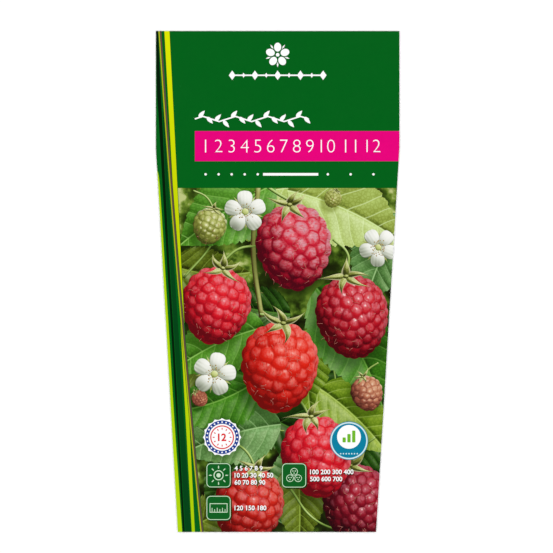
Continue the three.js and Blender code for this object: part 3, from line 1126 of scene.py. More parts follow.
@dataclass
class Fruit:
    """One printed raspberry: its place in the picture, its ripeness, and how the form is turned for it."""

    name: str
    at: Row
    size: Row
    tilt: float
    ripeness: Ripeness
    order: float
    form: int = 0
    roll: float = 0.0
    pitch: float = 0.0
    hairs: int = 52
    hair_reach: float = 0.46  # how far from the middle they lie, over the fruit's size
    hair_length: Row = (0.02, 0.045)  # half of one, over the fruit's width
    hair_bend: float = 50.0
    hair_ends: Row = (0.26, 0.14)  # how thick one is at its foot and at its tip
    hair_cut: float = -0.03  # the height that it is cut off at, so that it keeps an underside
    hair_rise: float = 0.9  # how far the hairs lie over the fruit, in the picture's overlaps
    shade: float = 0.92

    def caster(self) -> Caster:
        """Returns the shade that the fruit casts."""
        return Caster(self.at, (self.size[0] / 2, self.size[1] / 2), self.tilt, self.order, self.shade)

    def build(self, form: FruitForm, model: Piece) -> None:
        """Places a copy of a form, prints it, and lays its hairs on it.

        Args:
            form: What the form measures.
            model: The form itself.
        """
        piece = place(copied(model, f"{self.name}_print"), turn=(0, self.roll, 0))
        place(piece, at=(*self.at, 0), turn=(self.pitch, 0, self.tilt),
              size=(self.size[0] / form.width, self.size[1] / form.height, 1))
        store(piece, body=self.body(rows(piece)))
        young = self.ripeness in (Ripeness.YOUNG, Ripeness.TURNING)
        slot = "young_fruit_ink" if young else "fruit_ink"
        PICTURE.printed(piece, self.order, self.ripeness.value, slot, self.name, cut=-1)
        hairs = strands(f"hairs_{self.name}", self.routes(), *self.hair_ends, sides=0, steps=2)
        PICTURE.printed(hairs, self.order + self.hair_rise, THREAD_INK, "sepal_ink", cut=self.hair_cut)

    def routes(self) -> list[list[Row]]:
        """Sets out the dried styles that lie on the drupelets like hairs.

        Returns:
            Three points for each, on a curved way.
        """
        rng = random.Random(self.name)
        found = []
        for _ in range(self.hairs):
            reach, angle = math.sqrt(rng.random()) * self.hair_reach, rng.uniform(0, math.tau)
            x, y = self.size[0] * reach * math.cos(angle), self.size[1] * reach * math.sin(angle)
            at = polar(math.hypot(x, y), math.degrees(math.atan2(y, x)) + self.tilt, self.at)
            heading, length = rng.uniform(0, 360), self.size[0] * rng.uniform(*self.hair_length)
            middle = polar(length, heading, at)
            onward = heading + rng.uniform(-self.hair_bend, self.hair_bend)
            found.append([at, middle, polar(length, onward, middle)])
        return found

    def body(self, places: np.ndarray) -> np.ndarray:
        """Works out how the fruit's body faces, as if it had no drupelets.

        Args:
            places: The fruit's points.

        Returns:
            One direction for each point.
        """
        angle = math.radians(self.tilt)
        turned = np.array(((math.cos(angle), math.sin(angle)), (-math.sin(angle), math.cos(angle))))
        local = places.copy()
        local[:, :2] = (places[:, :2] - self.at) @ turned.T
        local /= np.array((*self.size, self.size[0])) ** 2
        local /= np.linalg.norm(local, axis=1)[:, None]
        local[:, :2] = local[:, :2] @ turned
        return local


# ---------------------------------------------------------------- leaves and other blades


@dataclass
class BladeForm:
    """A flat blade of unit length, its foot at the origin, drawn in to its outline column by column."""

    name: str
    rise: float = 0.62
    fall: float = 1.05
    columns: int = 120
    across: int = 32
    teeth: int = 15
    tooth: float = 0.085

    def half(self, share: float) -> float:
        """Returns half the width, over the full width, at a share of the length.

        Args:
            share: How far along the blade it is.

        Returns:
            The half width, over the full width.
        """
        if not 0 < share < 1:
            return 1e-3
        whole = self.rise + self.fall
        peak = (self.rise / whole) ** self.rise * (self.fall / whole) ** self.fall
        edge = share ** self.rise * (1 - share) ** self.fall / peak / 2
        big, small = (share * self.teeth) % 1, (share * self.teeth * 2.5) % 1
        return max(1e-3, edge * (1 - self.tooth * (1 - big) ** 1.4 - self.tooth * 0.3 * (1 - small)))

    def model(self) -> Piece:
        """Models the flat blade.

        Returns:
            The blade, which knows how near each point is to its edge.
        """
        blade = primitive("grid", self.name, x_subdivisions=self.columns, y_subdivisions=self.across, size=2)
        place(blade, at=(0.5, 0, 0), size=(0.5, 1, 1))
        along, off, _ = rows(blade).T
        store(blade, edge=np.abs(off))
        column = np.round(along * self.columns).astype(int)
        for index in range(self.columns + 1):
            with editing(blade, column == index):
                half = self.half(index / self.columns)
                bpy.ops.transform.resize(value=(1, half, 1), center_override=(0, 0, 0))
        return blade


@dataclass
class Leaf:
    """One printed leaf: where it grows from, how it lies, and its quilted relief."""

    name: str
    at: Row
    length: float
    width: float
    heading: float
    bend: float
    tone: LeafTone
    order: float
    seed: int
    quilt: float = 0.42
    veins: float = 7.6
    lean: float = 0.66  # how far a side vein runs forward for each step outward
    sweep: float = 0.9  # how much more it leans at the leaf's edge
    stray: float = 0.16  # how far it strays from its way, over the distance to the next
    stray_mm: Row = (6.7, 5.3)  # how fast it strays, along the leaf and across it
    first_vein: float = 0.3
    fold: float = 0.16
    rib_half: float = 1.4
    wave: float = 1.3  # how far the edge waves up and down
    waves: float = 1.9
    arch: float = 5.0  # how far the ends lie under the middle
    crest: float = 0.35  # how far along the leaf it is highest
    cover: float = 0.40  # half of what casts its shade, over its length and width
    shade: float = 0.55

    def caster(self) -> Caster:
        """Works out what the leaf casts its shade with.

        Returns:
            An oval over its broad part.
        """
        middle = polar(self.length * 0.44, self.heading + self.bend / 4, self.at)
        half = (self.length * self.cover, self.width * self.cover)
        return Caster(middle, half, self.heading + self.bend / 2, self.order, self.shade)

    def relief(self, places: np.ndarray) -> tuple[np.ndarray, np.ndarray, np.ndarray]:
        """Works out the leaf's relief before it bends.

        Args:
            places: Its points, with the midrib along X.

        Returns:
            The height of each point, its place in the row of side veins, and its distance from the midrib.
        """
        along, off = places[:, 0], np.abs(places[:, 1])
        phase = self.seed * 1.7
        slow, fast = self.stray_mm
        stray = self.stray * np.sin(along / slow + phase) * np.sin(places[:, 1] / fast + 2 * phase)
        forward = self.lean * off * (1 + self.sweep * off / self.width)
        vein = self.veins * (along - forward) / self.length + self.first_vein + stray
        bulge = np.abs(np.sin(math.pi * vein)) ** 0.8 * ease(off, 0.2, 0.14 * self.width)
        wave = np.sin(math.tau * (self.waves * along / self.length + phase)) * (2 * off / self.width) ** 2
        height = self.quilt * bulge + self.fold * off - np.exp(-(off / self.rib_half) ** 2) + self.wave * wave
        height -= self.arch * (along / self.length - self.crest + 0.1 * math.sin(phase)) ** 2
        return height, vein, off

    def build(self, form: Piece) -> None:
        """Shapes a copy of the flat blade and prints it.

        Args:
            form: The flat blade.
        """
        piece = place(copied(form, f"{self.name}_print"), size=(self.length, self.width, 1))
        height, vein, rib = self.relief(rows(piece))
        lift(piece, height)
        store(piece, vein=vein, rib=rib)
        modified(piece, "SIMPLE_DEFORM", deform_method="BEND", deform_axis="Z", angle=math.radians(self.bend))
        place(piece, at=(*self.at, 0), turn=(0, 0, self.heading))
        store(piece, form=rows(piece, "normal"))
        slot = "pale_leaf_ink" if self.name == "leaf_top_right" else "leaf_ink"
        PICTURE.printed(closed(piece), self.order, self.tone.value, slot, self.name)


# ---------------------------------------------------------------- calyx, stalks and blossom


@dataclass
class Calyx:
    """The star of pointed sepals on a fruit's shoulder: each is arched over, with a pale felted margin."""

    fruit: Fruit
    spread: float = 0.36  # a sepal's reach, over the fruit's width
    lift: float = 0.48  # how far up the fruit the star sits
    squash: float = 0.7  # how much of its height is left, seen from the side of the fruit
    knob: float = 0.11  # the middle's radius, over a sepal's reach
    arch: float = 0.34
    curl: float = 75.0
    sway: float = 12.0  # how far a sepal strays from its place in the star, in degrees
    lengths: Row = (0.9, 1.25)  # the least and the largest, over the star's reach
    widths: Row = (0.27, 0.37)
    rise: float = 1.1  # how far it lies over the fruit, in the picture's overlaps
    count: int = 5

    def sepal(self, form: Piece, index: int, reach: float) -> Piece:
        """Shapes one sepal.

        Args:
            form: The flat sepal.
            index: Which of the star's sepals it is.
            reach: How far it reaches.

        Returns:
            The sepal, closed, round the star's middle.
        """
        rng = random.Random(f"{self.fruit.name}{index}")
        long = rng.uniform(*self.lengths)
        piece = place(copied(form, "sepal"), size=(reach * long, reach * rng.uniform(*self.widths), 1))
        along, off, _ = np.abs(rows(piece).T / reach)
        arch = self.arch * np.sin(math.pi * (0.12 + 0.88 * along / long))
        lift(piece, reach * (arch - 2.0 * off ** 2 - 0.25 * off))
        modified(piece, "SIMPLE_DEFORM", deform_method="BEND", deform_axis="Z",
                 angle=math.radians(rng.uniform(-self.curl, self.curl)))
        turn = 90 + 360 / self.count * index + rng.uniform(-self.sway, self.sway)
        return closed(place(piece, turn=(0, 0, turn)))

    def build(self, form: Piece) -> None:
        """Sets the sepals round a knob and prints the star.

        Args:
            form: The flat sepal.
        """
        fruit = self.fruit
        reach = fruit.size[0] * self.spread
        radius = reach * self.knob
        knob = cut_off(primitive("uv_sphere", "knob", segments=20, ring_count=10, radius=radius))
        place(knob, at=(0, 0, reach * 0.2))
        parts = [self.sepal(form, index, reach) for index in range(self.count)]
        star = joined([*parts, knob], f"calyx_{fruit.name}_print")
        place(star, size=(1, self.squash, 1), at=(0, fruit.size[1] * self.lift, 0))
        place(star, turn=(0, 0, fruit.tilt), at=(*fruit.at, 0))
        PICTURE.printed(star, fruit.order + self.rise, SEPAL_INK, "sepal_ink", f"calyx_{fruit.name}")


@dataclass
class Stalk:
    """A stalk or cane through a few points, round in section, with fine prickles."""

    name: str
    route: tuple[Row, ...]
    start: float
    end: float
    order: float
    ink: PictureInk = STALK_INK
    prickles: int = 0
    prickle: Row = (0.45, 0.05, 1.8)  # its radius at the foot and at the tip, and its length

    def build(self) -> None:
        """Draws the stalk and prints it."""
        stem = strands(self.name, [self.route], self.start, self.end)
        piece = joined([stem, *self.spines()], f"{self.name}_print")
        PICTURE.printed(piece, self.order, self.ink, "stalk_ink", self.name, cut=0)

    def spines(self) -> list[Piece]:
        """Models the prickles along the stalk.

        Returns:
            One small cone for each.
        """
        parts = []
        route = np.array(self.route)
        for index in range(self.prickles):
            share = (index + 0.5) / self.prickles * (len(route) - 1)
            x, y = (np.interp(share, range(len(route)), route[:, axis]) for axis in (0, 1))
            side = 1 if index % 2 else -1
            foot, tip, length = self.prickle
            spine = primitive("cone", "prickle", vertices=8, radius1=foot, radius2=tip, depth=length)
            beside = (x + side * self.start * 0.62, y, 0)
            parts.append(place(spine, at=beside, turn=(0, side * 90, -12 * side)))
        return parts


@dataclass
class Blossom:
    """A raspberry flower: five small white petals on green sepals, round a dense ring of stamens."""

    name: str
    at: Row
    radius: float
    turn: float
    order: float = 18.0
    petals: int = 5
    stamens: int = 34
    boss: float = 0.17  # the green middle's radius, over the flower's
    root: float = 0.14  # where a stamen starts, over the flower's radius
    ring: Row = (0.16, 0.46)  # the least and the largest reach of an anther
    around: float = 222.5  # degrees from one stamen to the next, so that they fill the ring evenly
    sway: float = 6.0
    thread: Row = (0.3, 0.26)  # how thick a stamen is at its foot and at its tip
    anther: Row = (0.34, 0.5)  # the least and the largest radius of an anther
    shade: float = 0.7

    def caster(self) -> Caster:
        """Returns the shade that the flower casts."""
        return Caster(self.at, (self.radius * 0.8, self.radius * 0.8), 0, self.order, self.shade)

    def spray(self, form: Piece, length: float, width: float, rise: float, start: float) -> list[Piece]:
        """Copies a blade round the flower's middle.

        Args:
            form: The flat blade.
            length: How far each reaches, as a share of the flower's radius.
            width: How wide each is.
            rise: How much each is domed.
            start: Degrees that the first is turned by.

        Returns:
            The blades, closed.
        """
        parts = []
        for index in range(self.petals):
            piece = place(copied(form, "petal"), size=(length * self.radius, width * self.radius, 1))
            along, off = rows(piece)[:, 0] / (length * self.radius), rows(piece)[:, 1] / (width * self.radius)
            wrinkle = 0.03 * np.sin(9 * math.pi * off + index) * along
            dome = np.sin(math.pi * np.clip(along, 0, 1)) * (1 - 2.2 * off ** 2) + wrinkle
            lift(piece, rise * self.radius * dome)
            turn = self.turn + start + 360 / self.petals * index
            parts.append(closed(place(piece, at=(*self.at, 0), turn=(0, 0, turn))))
        return parts

    def build(self, petal: Piece, sepal: Piece) -> None:
        """Builds and prints the sepals, the petals, and the stamens with their anthers.

        Args:
            petal: The flat petal.
            sepal: The flat sepal.
        """
        r = self.radius
        rng = random.Random(round(r * 10))
        spots = [(r * rng.uniform(*self.ring), self.around * index + rng.uniform(-self.sway, self.sway))
                 for index in range(self.stamens)]
        tips = [polar(reach, angle, self.at) for reach, angle in spots]
        roots = [polar(r * self.root, angle, self.at) for _, angle in spots]
        threads = strands("threads", list(zip(roots, tips)), *self.thread, sides=1, steps=2)
        boss = primitive("uv_sphere", "boss", segments=20, ring_count=10, radius=r * self.boss)
        place(boss, at=(*self.at, 0), size=(1, 1, 0.3))
        anther = primitive("ico_sphere", "anther", subdivisions=2, radius=1)
        anthers = [place(copied(anther, "anther"), at=(*tip, 0), size=[rng.uniform(*self.anther)] * 3)
                   for tip in tips]
        bpy.data.objects.remove(anther)
        for parts, kind, ink, slot, rise, cut in (
                (self.spray(sepal, 0.96, 0.42, 0.12, 180 / self.petals), "sepals", SEPAL_INK, "sepal_ink",
                 0, None),
                (self.spray(petal, 1.0, 0.74, 0.20, 0), "petals", PETAL_INK, "petal_ink", 0.5, None),
                ([threads, boss], "stamens", STAMEN_INK, "sepal_ink", 1.3, 0),
                (anthers, "anthers", ANTHER_INK, "sepal_ink", 1.7, 0)):
            piece = joined(parts, f"{self.name}_{kind}")
            PICTURE.printed(piece, self.order + rise, ink, slot, self.name, cut=cut)


# ---------------------------------------------------------------- what is printed flat


@dataclass
class FlatPrint:
    """Something printed flat in spot inks over a CAD node."""

    node: str
    sunk: ClassVar[float] = 0.01  # how deep it goes into what it lies on
    over: ClassVar[float] = 20.0  # it lies over every motif of the picture
    drop: ClassVar[Row] = (2.7, 2.0)  # from its middle to that of what casts its shade
    spread: ClassVar[float] = 1.03  # how much larger than itself that is
    shade: ClassVar[float] = 0.7

    def __post_init__(self) -> None:
        """Reads the node's middle, half width and face."""
        low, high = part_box(self.node)
        self.at = ((low.x + high.x) / 2 / MM, (low.y + high.y) / 2 / MM)
        self.half, self.face = (high.x - low.x) / 2 / MM, high.z / MM

    def caster(self) -> Caster:
        """Works out what it casts its shade on the picture with.

        Returns:
            A round that is a little larger than itself.
        """
        middle = (self.at[0] + self.drop[0], self.at[1] + self.drop[1])
        half = self.half * self.spread
        return Caster(middle, (half, half), 0, self.over, self.shade)

    def lay(self, parts: list[Piece], name: str, ink: Finish, slot: str, rise: float = 0.006,
            *nodes: str) -> None:
        """Joins flat shapes and prints them on the node's face.

        Args:
            parts: The flat shapes.
            name: The piece's name.
            ink: Its ink.
            slot: The record's slot.
            rise: How high the ink stands.
            nodes: The CAD nodes that it stands for.
        """
        finish(raised(joined(parts, name), self.face - self.sunk, self.face + rise), ink, slot, *nodes)


@dataclass
class Header(FlatPrint):
    """What stands on the plain green head: an emblem, a ruled line, and the year's months by number."""

    node: str = "banner"
    emblem: Row = (0, 139.6)
    petal: float = 7.6
    rule_y: float = 127.0
    rule_reach: float = 28.0
    months_left: float = -48.4
    months_right: float = 66.0
    months_y: float = 83.4
    months_height: float = 7.9
    months_weight: float = -0.02
    two_digits: float = 1.75  # how much wider the place of a number of two digits is
    dots_y: float = 66.0
    dot: float = 0.75
    diamonds: Row = (2.9, 1.5)  # half the height of the large ones and of the small ones on the line
    harvest: tuple[int, int] = (6, 9)

    def build(self) -> None:
        """Builds the emblem, the line's ornaments, the months and their dots."""
        r = self.petal
        flower = [disc(32, self.emblem, (r * 0.15, r * 0.15)),
                  *wreath(5, 36, self.emblem, r * 0.62, (r * 0.36, r * 0.29)),
                  *wreath(5, 4, self.emblem, r * 0.80, (r * 0.22, r * 0.07), 126)]
        self.lay(flower, "emblem_flower", WHITE_INK, "white_ink", 0.1, "emblem")
        marks = [disc(4, (index * self.rule_reach / 4, self.rule_y), (size * 0.72, size))
                 for index, size in zip(range(-4, 5), self.diamonds * 5)]
        self.lay(marks, "rule_diamonds", WHITE_INK, "white_ink")
        wide = np.array([1.0] * 9 + [self.two_digits] * 3)
        pitch = (self.months_right - self.months_left) / wide.sum()
        places = list(enumerate(self.months_left + pitch * (np.cumsum(wide) - wide / 2), start=1))
        months = [digits(str(month), (float(x), self.months_y), self.months_height, self.months_weight)
                  for month, x in places]
        self.lay(months, "month_numbers", WHITE_INK, "white_ink")
        dots = [disc(20, (x, self.dots_y), (self.dot, self.dot)) for month, x in places
                if not self.harvest[0] <= month <= self.harvest[1]]
        self.lay(dots, "month_dots", WHITE_INK, "white_ink")


class Sign(Enum):
    """What a badge shows, by its CAD node."""

    SUN = "badge_sun"
    BERRIES = "badge_berries"
    RULER = "badge_ruler"


@dataclass
class Badge(FlatPrint):
    """A rounded green tile with a pale rim and a line sign, and plain numbers beside it."""

    lines: tuple[str, ...] = ()
    digit_height: float = 3.0
    line_pitch: float = 4.35
    margin: float = 2.2
    corner: float = 2.8
    rim: float = 0.42
    inset: float = 0.25  # from the tile's edge to its rim
    cast: float = 0.5  # how far the drop shadows are shifted, right and down

    def sign(self) -> list[Piece]:
        """Models the sign.

        Returns:
            Its flat shapes.
        """
        x, y = self.at
        if self.node == Sign.SUN.value:
            core, ray = (1.3, 1.3), (0.95, 0.34)
            return [ring(40, self.at, reach=3.1, line=0.6), disc(24, self.at, core),
                    *wreath(8, 12, self.at, reach=5.0, size=ray, start=0)]
        if self.node == Sign.BERRIES.value:
            bead = (0.38, 0.38)
            spots = [(x + dx, y + dy) for dx, dy in ((-2.5, -1.7), (2.5, -1.7), (0.0, 2.3))]
            beads = [one for spot in spots for one in wreath(3, 12, spot, reach=0.85, size=bead, start=30)]
            return [ring(32, spot, reach=2.3, line=0.4) for spot in spots] + beads
        pitch, line, frame_size = 1.6, 0.42, (11.0, 5.7)
        ticks = [tile((x + pitch * (index - 2.5), y - top), (line, length))
                 for index, (top, length) in enumerate(((1.2, 2.5), (1.6, 1.7)) * 3)]
        return [hollow(tile(self.at, frame_size), 0.45), *ticks]

    def build(self) -> None:
        """Builds the tile's shadow, the rim with the sign, and the numbers with their drop shadow."""
        side, inner = self.half * 2, (self.half - self.inset) * 2
        shadow = tile((self.at[0] + self.cast, self.at[1] - self.cast), (side, side), self.corner)
        self.lay([shadow], f"{self.node}_tile_shadow", SHADOW_INK, "badge_ink", -0.004)
        rim = hollow(tile(self.at, (inner, inner), self.corner - 0.2), self.rim)
        self.lay([rim, *self.sign()], f"{self.node}_sign", PALE_INK, "badge_ink")
        left = self.at[0] + self.half + self.margin
        top = self.at[1] + self.line_pitch * (len(self.lines) - 1) / 2
        for kind, ink, shift, weight, rise in (("shadow", SHADOW_INK, self.cast, 0.035, 0.002),
                                               ("numbers", WHITE_INK, 0.0, 0.022, 0.006)):
            parts = [digits(text, (left + shift, top - self.line_pitch * index - shift), self.digit_height,
                            weight, True) for index, text in enumerate(self.lines)]
            self.lay(parts, f"{self.node}_{kind}", ink, "white_ink", rise)


@dataclass
class Rosette(FlatPrint):
    """A scalloped white rosette with a beaded blue band round a red dial of the twelve months."""

    node: str = "seal_rosette"
    band: float = 0.88  # the reach of each, over the rosette's own
    beads: float = 0.79
    line: float = 0.62
    ticks: float = 0.44
    number: float = 0.40

    def build(self) -> None:
        """Builds what is printed on it, from the band inwards."""
        r = self.half
        ticks = wreath(12, 4, self.at, r * self.ticks, (r * 0.075, r * 0.035))
        for parts, name, ink, rise in (
                ([ring(72, self.at, r * self.band, r * 0.18)], "band", BLUE_INK, 0.004),
                (wreath(24, 12, self.at, r * self.beads, (0.5, 0.5)), "beads", WHITE_INK, 0.008),
                ([ring(64, self.at, r * self.line, r * 0.06)], "line", RED_INK, 0.004),
                ([*ticks, digits("12", self.at, r * self.number, 0.03)], "dial", RED_INK, 0.006)):
            self.lay(parts, f"rosette_{name}", ink, "white_ink", rise)


@dataclass
class GaugeDisc(FlatPrint):
    """A teal disc with a pale rim, and three rising bars on its white middle."""

    node: str = "seal_round"
    rim: float = 0.97  # the reach of each, over the disc's own
    middle: float = 0.62
    up: float = 0.20  # how far the middle stands above the disc's
    down: float = 0.68  # how far the dots lie under it
    dot_pitch: float = 1.7

    def build(self) -> None:
        """Builds the rim, the white middle, the bars on it and the dots under it."""
        (x, y), r = self.at, self.half
        up = y + r * self.up
        bars = [tile((x + r * 0.25 * step, up + r * (0.09 * step - 0.07)),
                     (r * 0.17, r * (0.44 + 0.18 * step)), r * 0.04) for step in (-1, 0, 1)]
        dots = [disc(12, (x + self.dot_pitch * index, y - r * self.down), (0.45, 0.45))
                for index in range(-3, 4)]
        for parts, name, ink, rise in (
                ([ring(72, self.at, r * self.rim, r * 0.07)], "rim", PALE_TEAL_INK, 0.004),
                ([disc(56, (x, up), (r * self.middle, r * self.middle))], "middle", WHITE_INK, 0.004),
                (bars, "bars", FRESH_INK, 0.010),
                (dots, "dots", PALE_TEAL_INK, 0.004)):
            self.lay(parts, f"disc_{name}", ink, "teal_ink", rise)


# ---------------------------------------------------------------- the whole picture

RIPE = Ripeness
FRUITS = [
    Fruit("berry_top", (10, 21), (47, 55), 6, RIPE.PINK, 16.0, 0, 20, 8),
    Fruit("berry_left", (-38, -15), (43, 49), -10, RIPE.RED, 16.0, 1, 120, -6),
    Fruit("berry_right", (46, -22), (45, 53), 9, RIPE.CRIMSON, 15.5, 2, 200, 12),
    Fruit("berry_middle", (1, -53), (48, 57), -5, RIPE.ORANGE, 16.0, 1, 250, 4),
    Fruit("berry_low", (24, -108), (44, 52), 8, RIPE.RED, 17.0, 0, 310, -8),
    Fruit("berry_foot_left", (-18, -139), (43, 50), -12, RIPE.RUSSET, 15.0, 1, 75, 6),
    Fruit("berry_foot_right", (49, -138), (42, 52), 10, RIPE.WINE, 15.0, 2, 160, 10),
    Fruit("young_berry_left", (-42, 34), (21, 23), -14, RIPE.YOUNG, 15.0, 3, 30, 5, 12),
    Fruit("young_berry_right", (55, -69), (20, 22), 16, RIPE.TURNING, 15.0, 3, 140, 5, 12),
    Fruit("bud_top", (34, 51), (11, 11), -24, RIPE.YOUNG, 14.6, 3, 60, 5, 6),
    Fruit("bud_left", (-48, -72), (10, 10), 40, RIPE.TURNING, 14.6, 3, 200, 5, 6),
]
BLOSSOMS = [
    Blossom("blossom_top", (-20, 43), 13, 20),
    Blossom("blossom_right", (62, 21), 12, 50),
    Blossom("blossom_left", (-39, -57), 13.5, 5),
]
TONE = LeafTone
FRONT_LEAVES = [
    ("leaf_right", (24, -4), 84, 50, -50, -22, TONE.MID),
    ("leaf_left", (-8, -28), 66, 42, 194, 24, TONE.FRESH),
    ("leaf_top_right", (6, 56), 80, 52, -12, -26, TONE.PALE),
    ("leaf_top_left", (-2, 60), 70, 48, 206, 14, TONE.FRESH),
    ("leaf_middle_left", (-14, -62), 56, 40, 214, -30, TONE.MID),
    ("leaf_low_right", (26, -66), 58, 42, -34, -20, TONE.LIGHT),
    ("leaf_low_left", (2, -88), 66, 42, 186, 22, TONE.GREY),
    ("leaf_foot", (12, -112), 52, 34, -84, -10, TONE.OLIVE),
    ("leaf_foot_left", (-14, -102), 48, 34, 222, 20, TONE.DEEP),
]
LEAVES_BEHIND = [
    ((-30, 66), 52, 36, -70, 20, TONE.LIGHT), ((40, 66), 60, 40, 200, -20, TONE.PALE),
    ((78, 40), 60, 44, 236, 20, TONE.GREY), ((-66, 10), 50, 34, -20, 30, TONE.OLIVE),
    ((8, -20), 46, 32, 178, -20, TONE.DEEP), ((20, -30), 50, 34, 262, 16, TONE.LIGHT),
    ((76, -40), 58, 40, 204, 24, TONE.DEEP), ((-54, -34), 50, 34, -64, -18, TONE.OLIVE),
    ((-4, -84), 54, 38, -30, 22, TONE.DEEP), ((66, -84), 56, 38, 226, -18, TONE.MID),
    ((-58, -84), 46, 34, -30, 18, TONE.MID), ((6, -150), 50, 34, 84, 14, TONE.GREY),
    ((70, -120), 48, 32, 168, 20, TONE.DEEP), ((-50, -150), 44, 32, 30, -16, TONE.OLIVE),
]
LEAVES = [Leaf(*leaf, 13.0 - index, index) for index, leaf in enumerate(FRONT_LEAVES)]
LEAVES += [Leaf(f"leaf_behind_{index + 1}", *leaf, 0.5 + 0.5 * (index % 7), index + 20, 0.6)
           for index, leaf in enumerate(LEAVES_BEHIND)]
STALKS = [
    Stalk("stalk_top", ((-6, 58), (0, 54), (7, 50)), 2.2, 1.8, 14.0),
    Stalk("stalk_left", ((-12, 22), (-24, 20), (-34, 12)), 1.6, 1.8, 14.4),
    Stalk("stalk_right", ((34, 26), (43, 17), (43, 6)), 1.6, 1.8, 14.4),
    Stalk("cane", ((-12, 58), (-15, 20), (-10, -22)), 3.4, 3.0, 14.0, CANE_INK, 14),
    Stalk("spur_middle", ((-11, -20), (-7, -21), (-1, -27)), 1.9, 1.7, 14.2),
    Stalk("spur_low", ((4, -66), (14, -74), (20, -84)), 1.6, 1.8, 14.2),
    Stalk("spur_foot_left", ((-30, -98), (-20, -104), (-13, -116)), 1.5, 1.7, 14.2),
    Stalk("spur_foot_right", ((60, -96), (50, -104), (45, -114)), 1.5, 1.7, 14.2),
    Stalk("spur_young_left", ((-52, 56), (-44, 52), (-39, 44)), 1.2, 1.3, 14.2),
    Stalk("spur_young_right", ((62, -50), (56, -54), (52, -59)), 1.2, 1.3, 14.2),
    Stalk("stem_behind_1", ((-58, 2), (-40, 24), (-26, 60)), 1.4, 1.0, 4.5),
    Stalk("stem_behind_2", ((20, -20), (34, -52), (36, -84)), 1.6, 1.1, 4.5),
    Stalk("stem_behind_3", ((-52, -70), (-30, -88), (4, -92)), 1.5, 1.1, 4.5),
    Stalk("stem_behind_4", ((8, -128), (22, -146), (46, -156)), 1.7, 1.2, 14.1),
]
GROUND_CELL = 1.2  # from one point of the ground to the next


def build_ground() -> None:
    """Builds the picture's ground, a fine grid that carries the shade of what lies on it."""
    size = PICTURE.high - PICTURE.low + 4
    across, down = (round(float(side) / GROUND_CELL) for side in size)
    ground = primitive("grid", "picture_ground_print", x_subdivisions=across, y_subdivisions=down, size=1)
    place(ground, at=(*(PICTURE.high + PICTURE.low) / 2, PICTURE.face), size=(*size, 1))
    store(ground, shade=PICTURE.shade(rows(ground), 0.0))
    closed(ground, PICTURE.face - PICTURE.floor)
    finish(PICTURE.clip(ground), GROUND_INK, "shade_ink", PICTURE.node)


def build_picture(marks: Sequence[FlatPrint]) -> None:
    """Builds the whole picture, from its ground to its flowers.

    Args:
        marks: What is printed flat over the picture.
    """
    PICTURE.casters += [motif.caster() for motif in (*FRUITS, *LEAVES, *BLOSSOMS, *marks)]
    build_ground()
    blade = BladeForm("leaf_form").model()
    sepal = BladeForm("sepal_form", rise=0.55, fall=2.2, columns=28, across=12, tooth=0.0).model()
    petal = BladeForm("petal_form", rise=0.85, fall=0.42, columns=32, across=16, tooth=0.0).model()
    for leaf in LEAVES:
        leaf.build(blade)
    for stalk in STALKS:
        stalk.build()
    shapes = [FruitForm(f"fruit_form_{kind}", seed=seed, drupelet=drupelet) for kind, seed, drupelet in (
        ("large", 3, 9.8), ("middle", 8, 9.0), ("small", 21, 7.8), ("young", 5, 10.5))]
    models = [shape.model() for shape in shapes]
    for fruit in FRUITS:
        fruit.build(shapes[fruit.form], models[fruit.form])
        Calyx(fruit).build(sepal)
    for flower in BLOSSOMS:
        flower.build(petal, sepal)
    for form in (blade, sepal, petal, *models):
        bpy.data.objects.remove(form)


def dress_cad() -> None:
    """Gives the CAD nodes that stay their finishes."""
    for name, ink in CAD_FINISHES.items():
        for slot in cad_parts[name].material_slots:
            slot.material = ink.material()
        log.info("%s: %s", name, ink.name)


# ---------------------------------------------------------------- studio


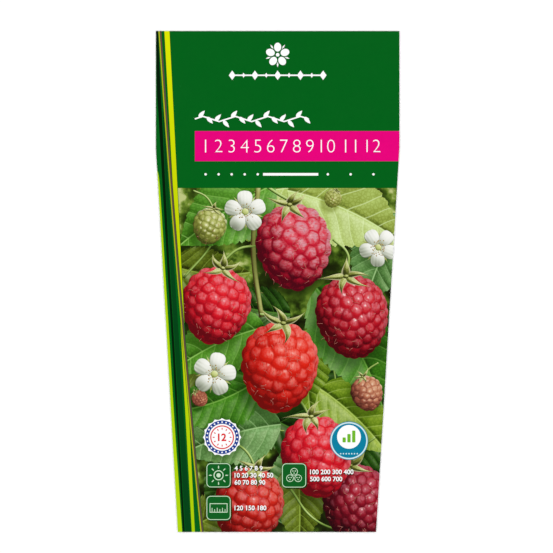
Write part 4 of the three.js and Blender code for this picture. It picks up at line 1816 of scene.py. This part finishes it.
@dataclass
class Studio:
    """A copy stand: a pale table, four soft lamps round it and a camera that looks straight down."""

    table: float = 10.0  # metres, as its thickness and the lamps' places are
    board: float = 0.02
    view_width: float = 340.5
    centre: Row = (-0.72, 3.08)
    lens: float = 100.0
    film: float = 36.0
    lamp_reach: float = 1.15
    lamp_height: float = 1.6
    lamp_size: float = 1.1
    lamp_watts: float = 18.8
    world: float = 0.10
    near: float = 0.05  # the camera sees nothing nearer than this
    face: float = 1.0  # millimetres over the table, where the view's width is measured

    def build(self) -> None:
        """Builds the floor, the lamps, the world and the camera."""
        floor = primitive("plane", "studio_floor", size=self.table)
        with editing(floor):
            bpy.ops.mesh.subdivide(number_cuts=3)
        raised(floor, 0, -self.board)
        paper = Finish("matt_white_paper", "FDFDFD", roughness=0.8, mottle=0.004, mottle_mm=60.0)
        floor.data.materials.append(paper.material())  # matt board: white, with no shine
        for x, y in ((1, 1), (-1, 1), (1, -1), (-1, -1)):
            at = Vector((x * self.lamp_reach, y * self.lamp_reach, self.lamp_height))
            take()
            bpy.ops.object.light_add(type="AREA", location=at)
            lamp = bpy.context.object
            lamp.data.size, lamp.data.energy = self.lamp_size, self.lamp_watts
            lamp.rotation_euler = (-at).to_track_quat("-Z", "Y").to_euler()
        scene = bpy.context.scene
        scene.world = bpy.data.worlds.new("studio")
        scene.world.use_nodes = True
        sky = scene.world.node_tree.nodes["Background"].inputs
        sky["Color"].default_value, sky["Strength"].default_value = linear("FFFFFF"), self.world
        scene.view_settings.view_transform = "Standard"
        take()
        bpy.ops.object.camera_add(rotation=(0, 0, 0))
        scene.camera = bpy.context.object
        scene.camera.data.lens, scene.camera.data.sensor_width = self.lens, self.film
        scene.camera.data.clip_start = self.near
        away = self.view_width * self.lens / self.film + self.face
        scene.camera.location = (self.centre[0] * MM, self.centre[1] * MM, away * MM)


def main() -> None:
    """Builds the label and its studio."""
    dress_cad()
    marks = [Badge(Sign.SUN.value, ("4 5 6 7 8 9", "10 20 30 40 50", "60 70 80 90")),
             Badge(Sign.BERRIES.value, ("100 200 300 400", "500 600 700")),
             Badge(Sign.RULER.value, ("120 150 180",)), Rosette(), GaugeDisc()]
    build_picture(marks)
    for flat in (Header(), *marks):
        flat.build()
    Studio().build()


if __name__ == "__main__":
    main()
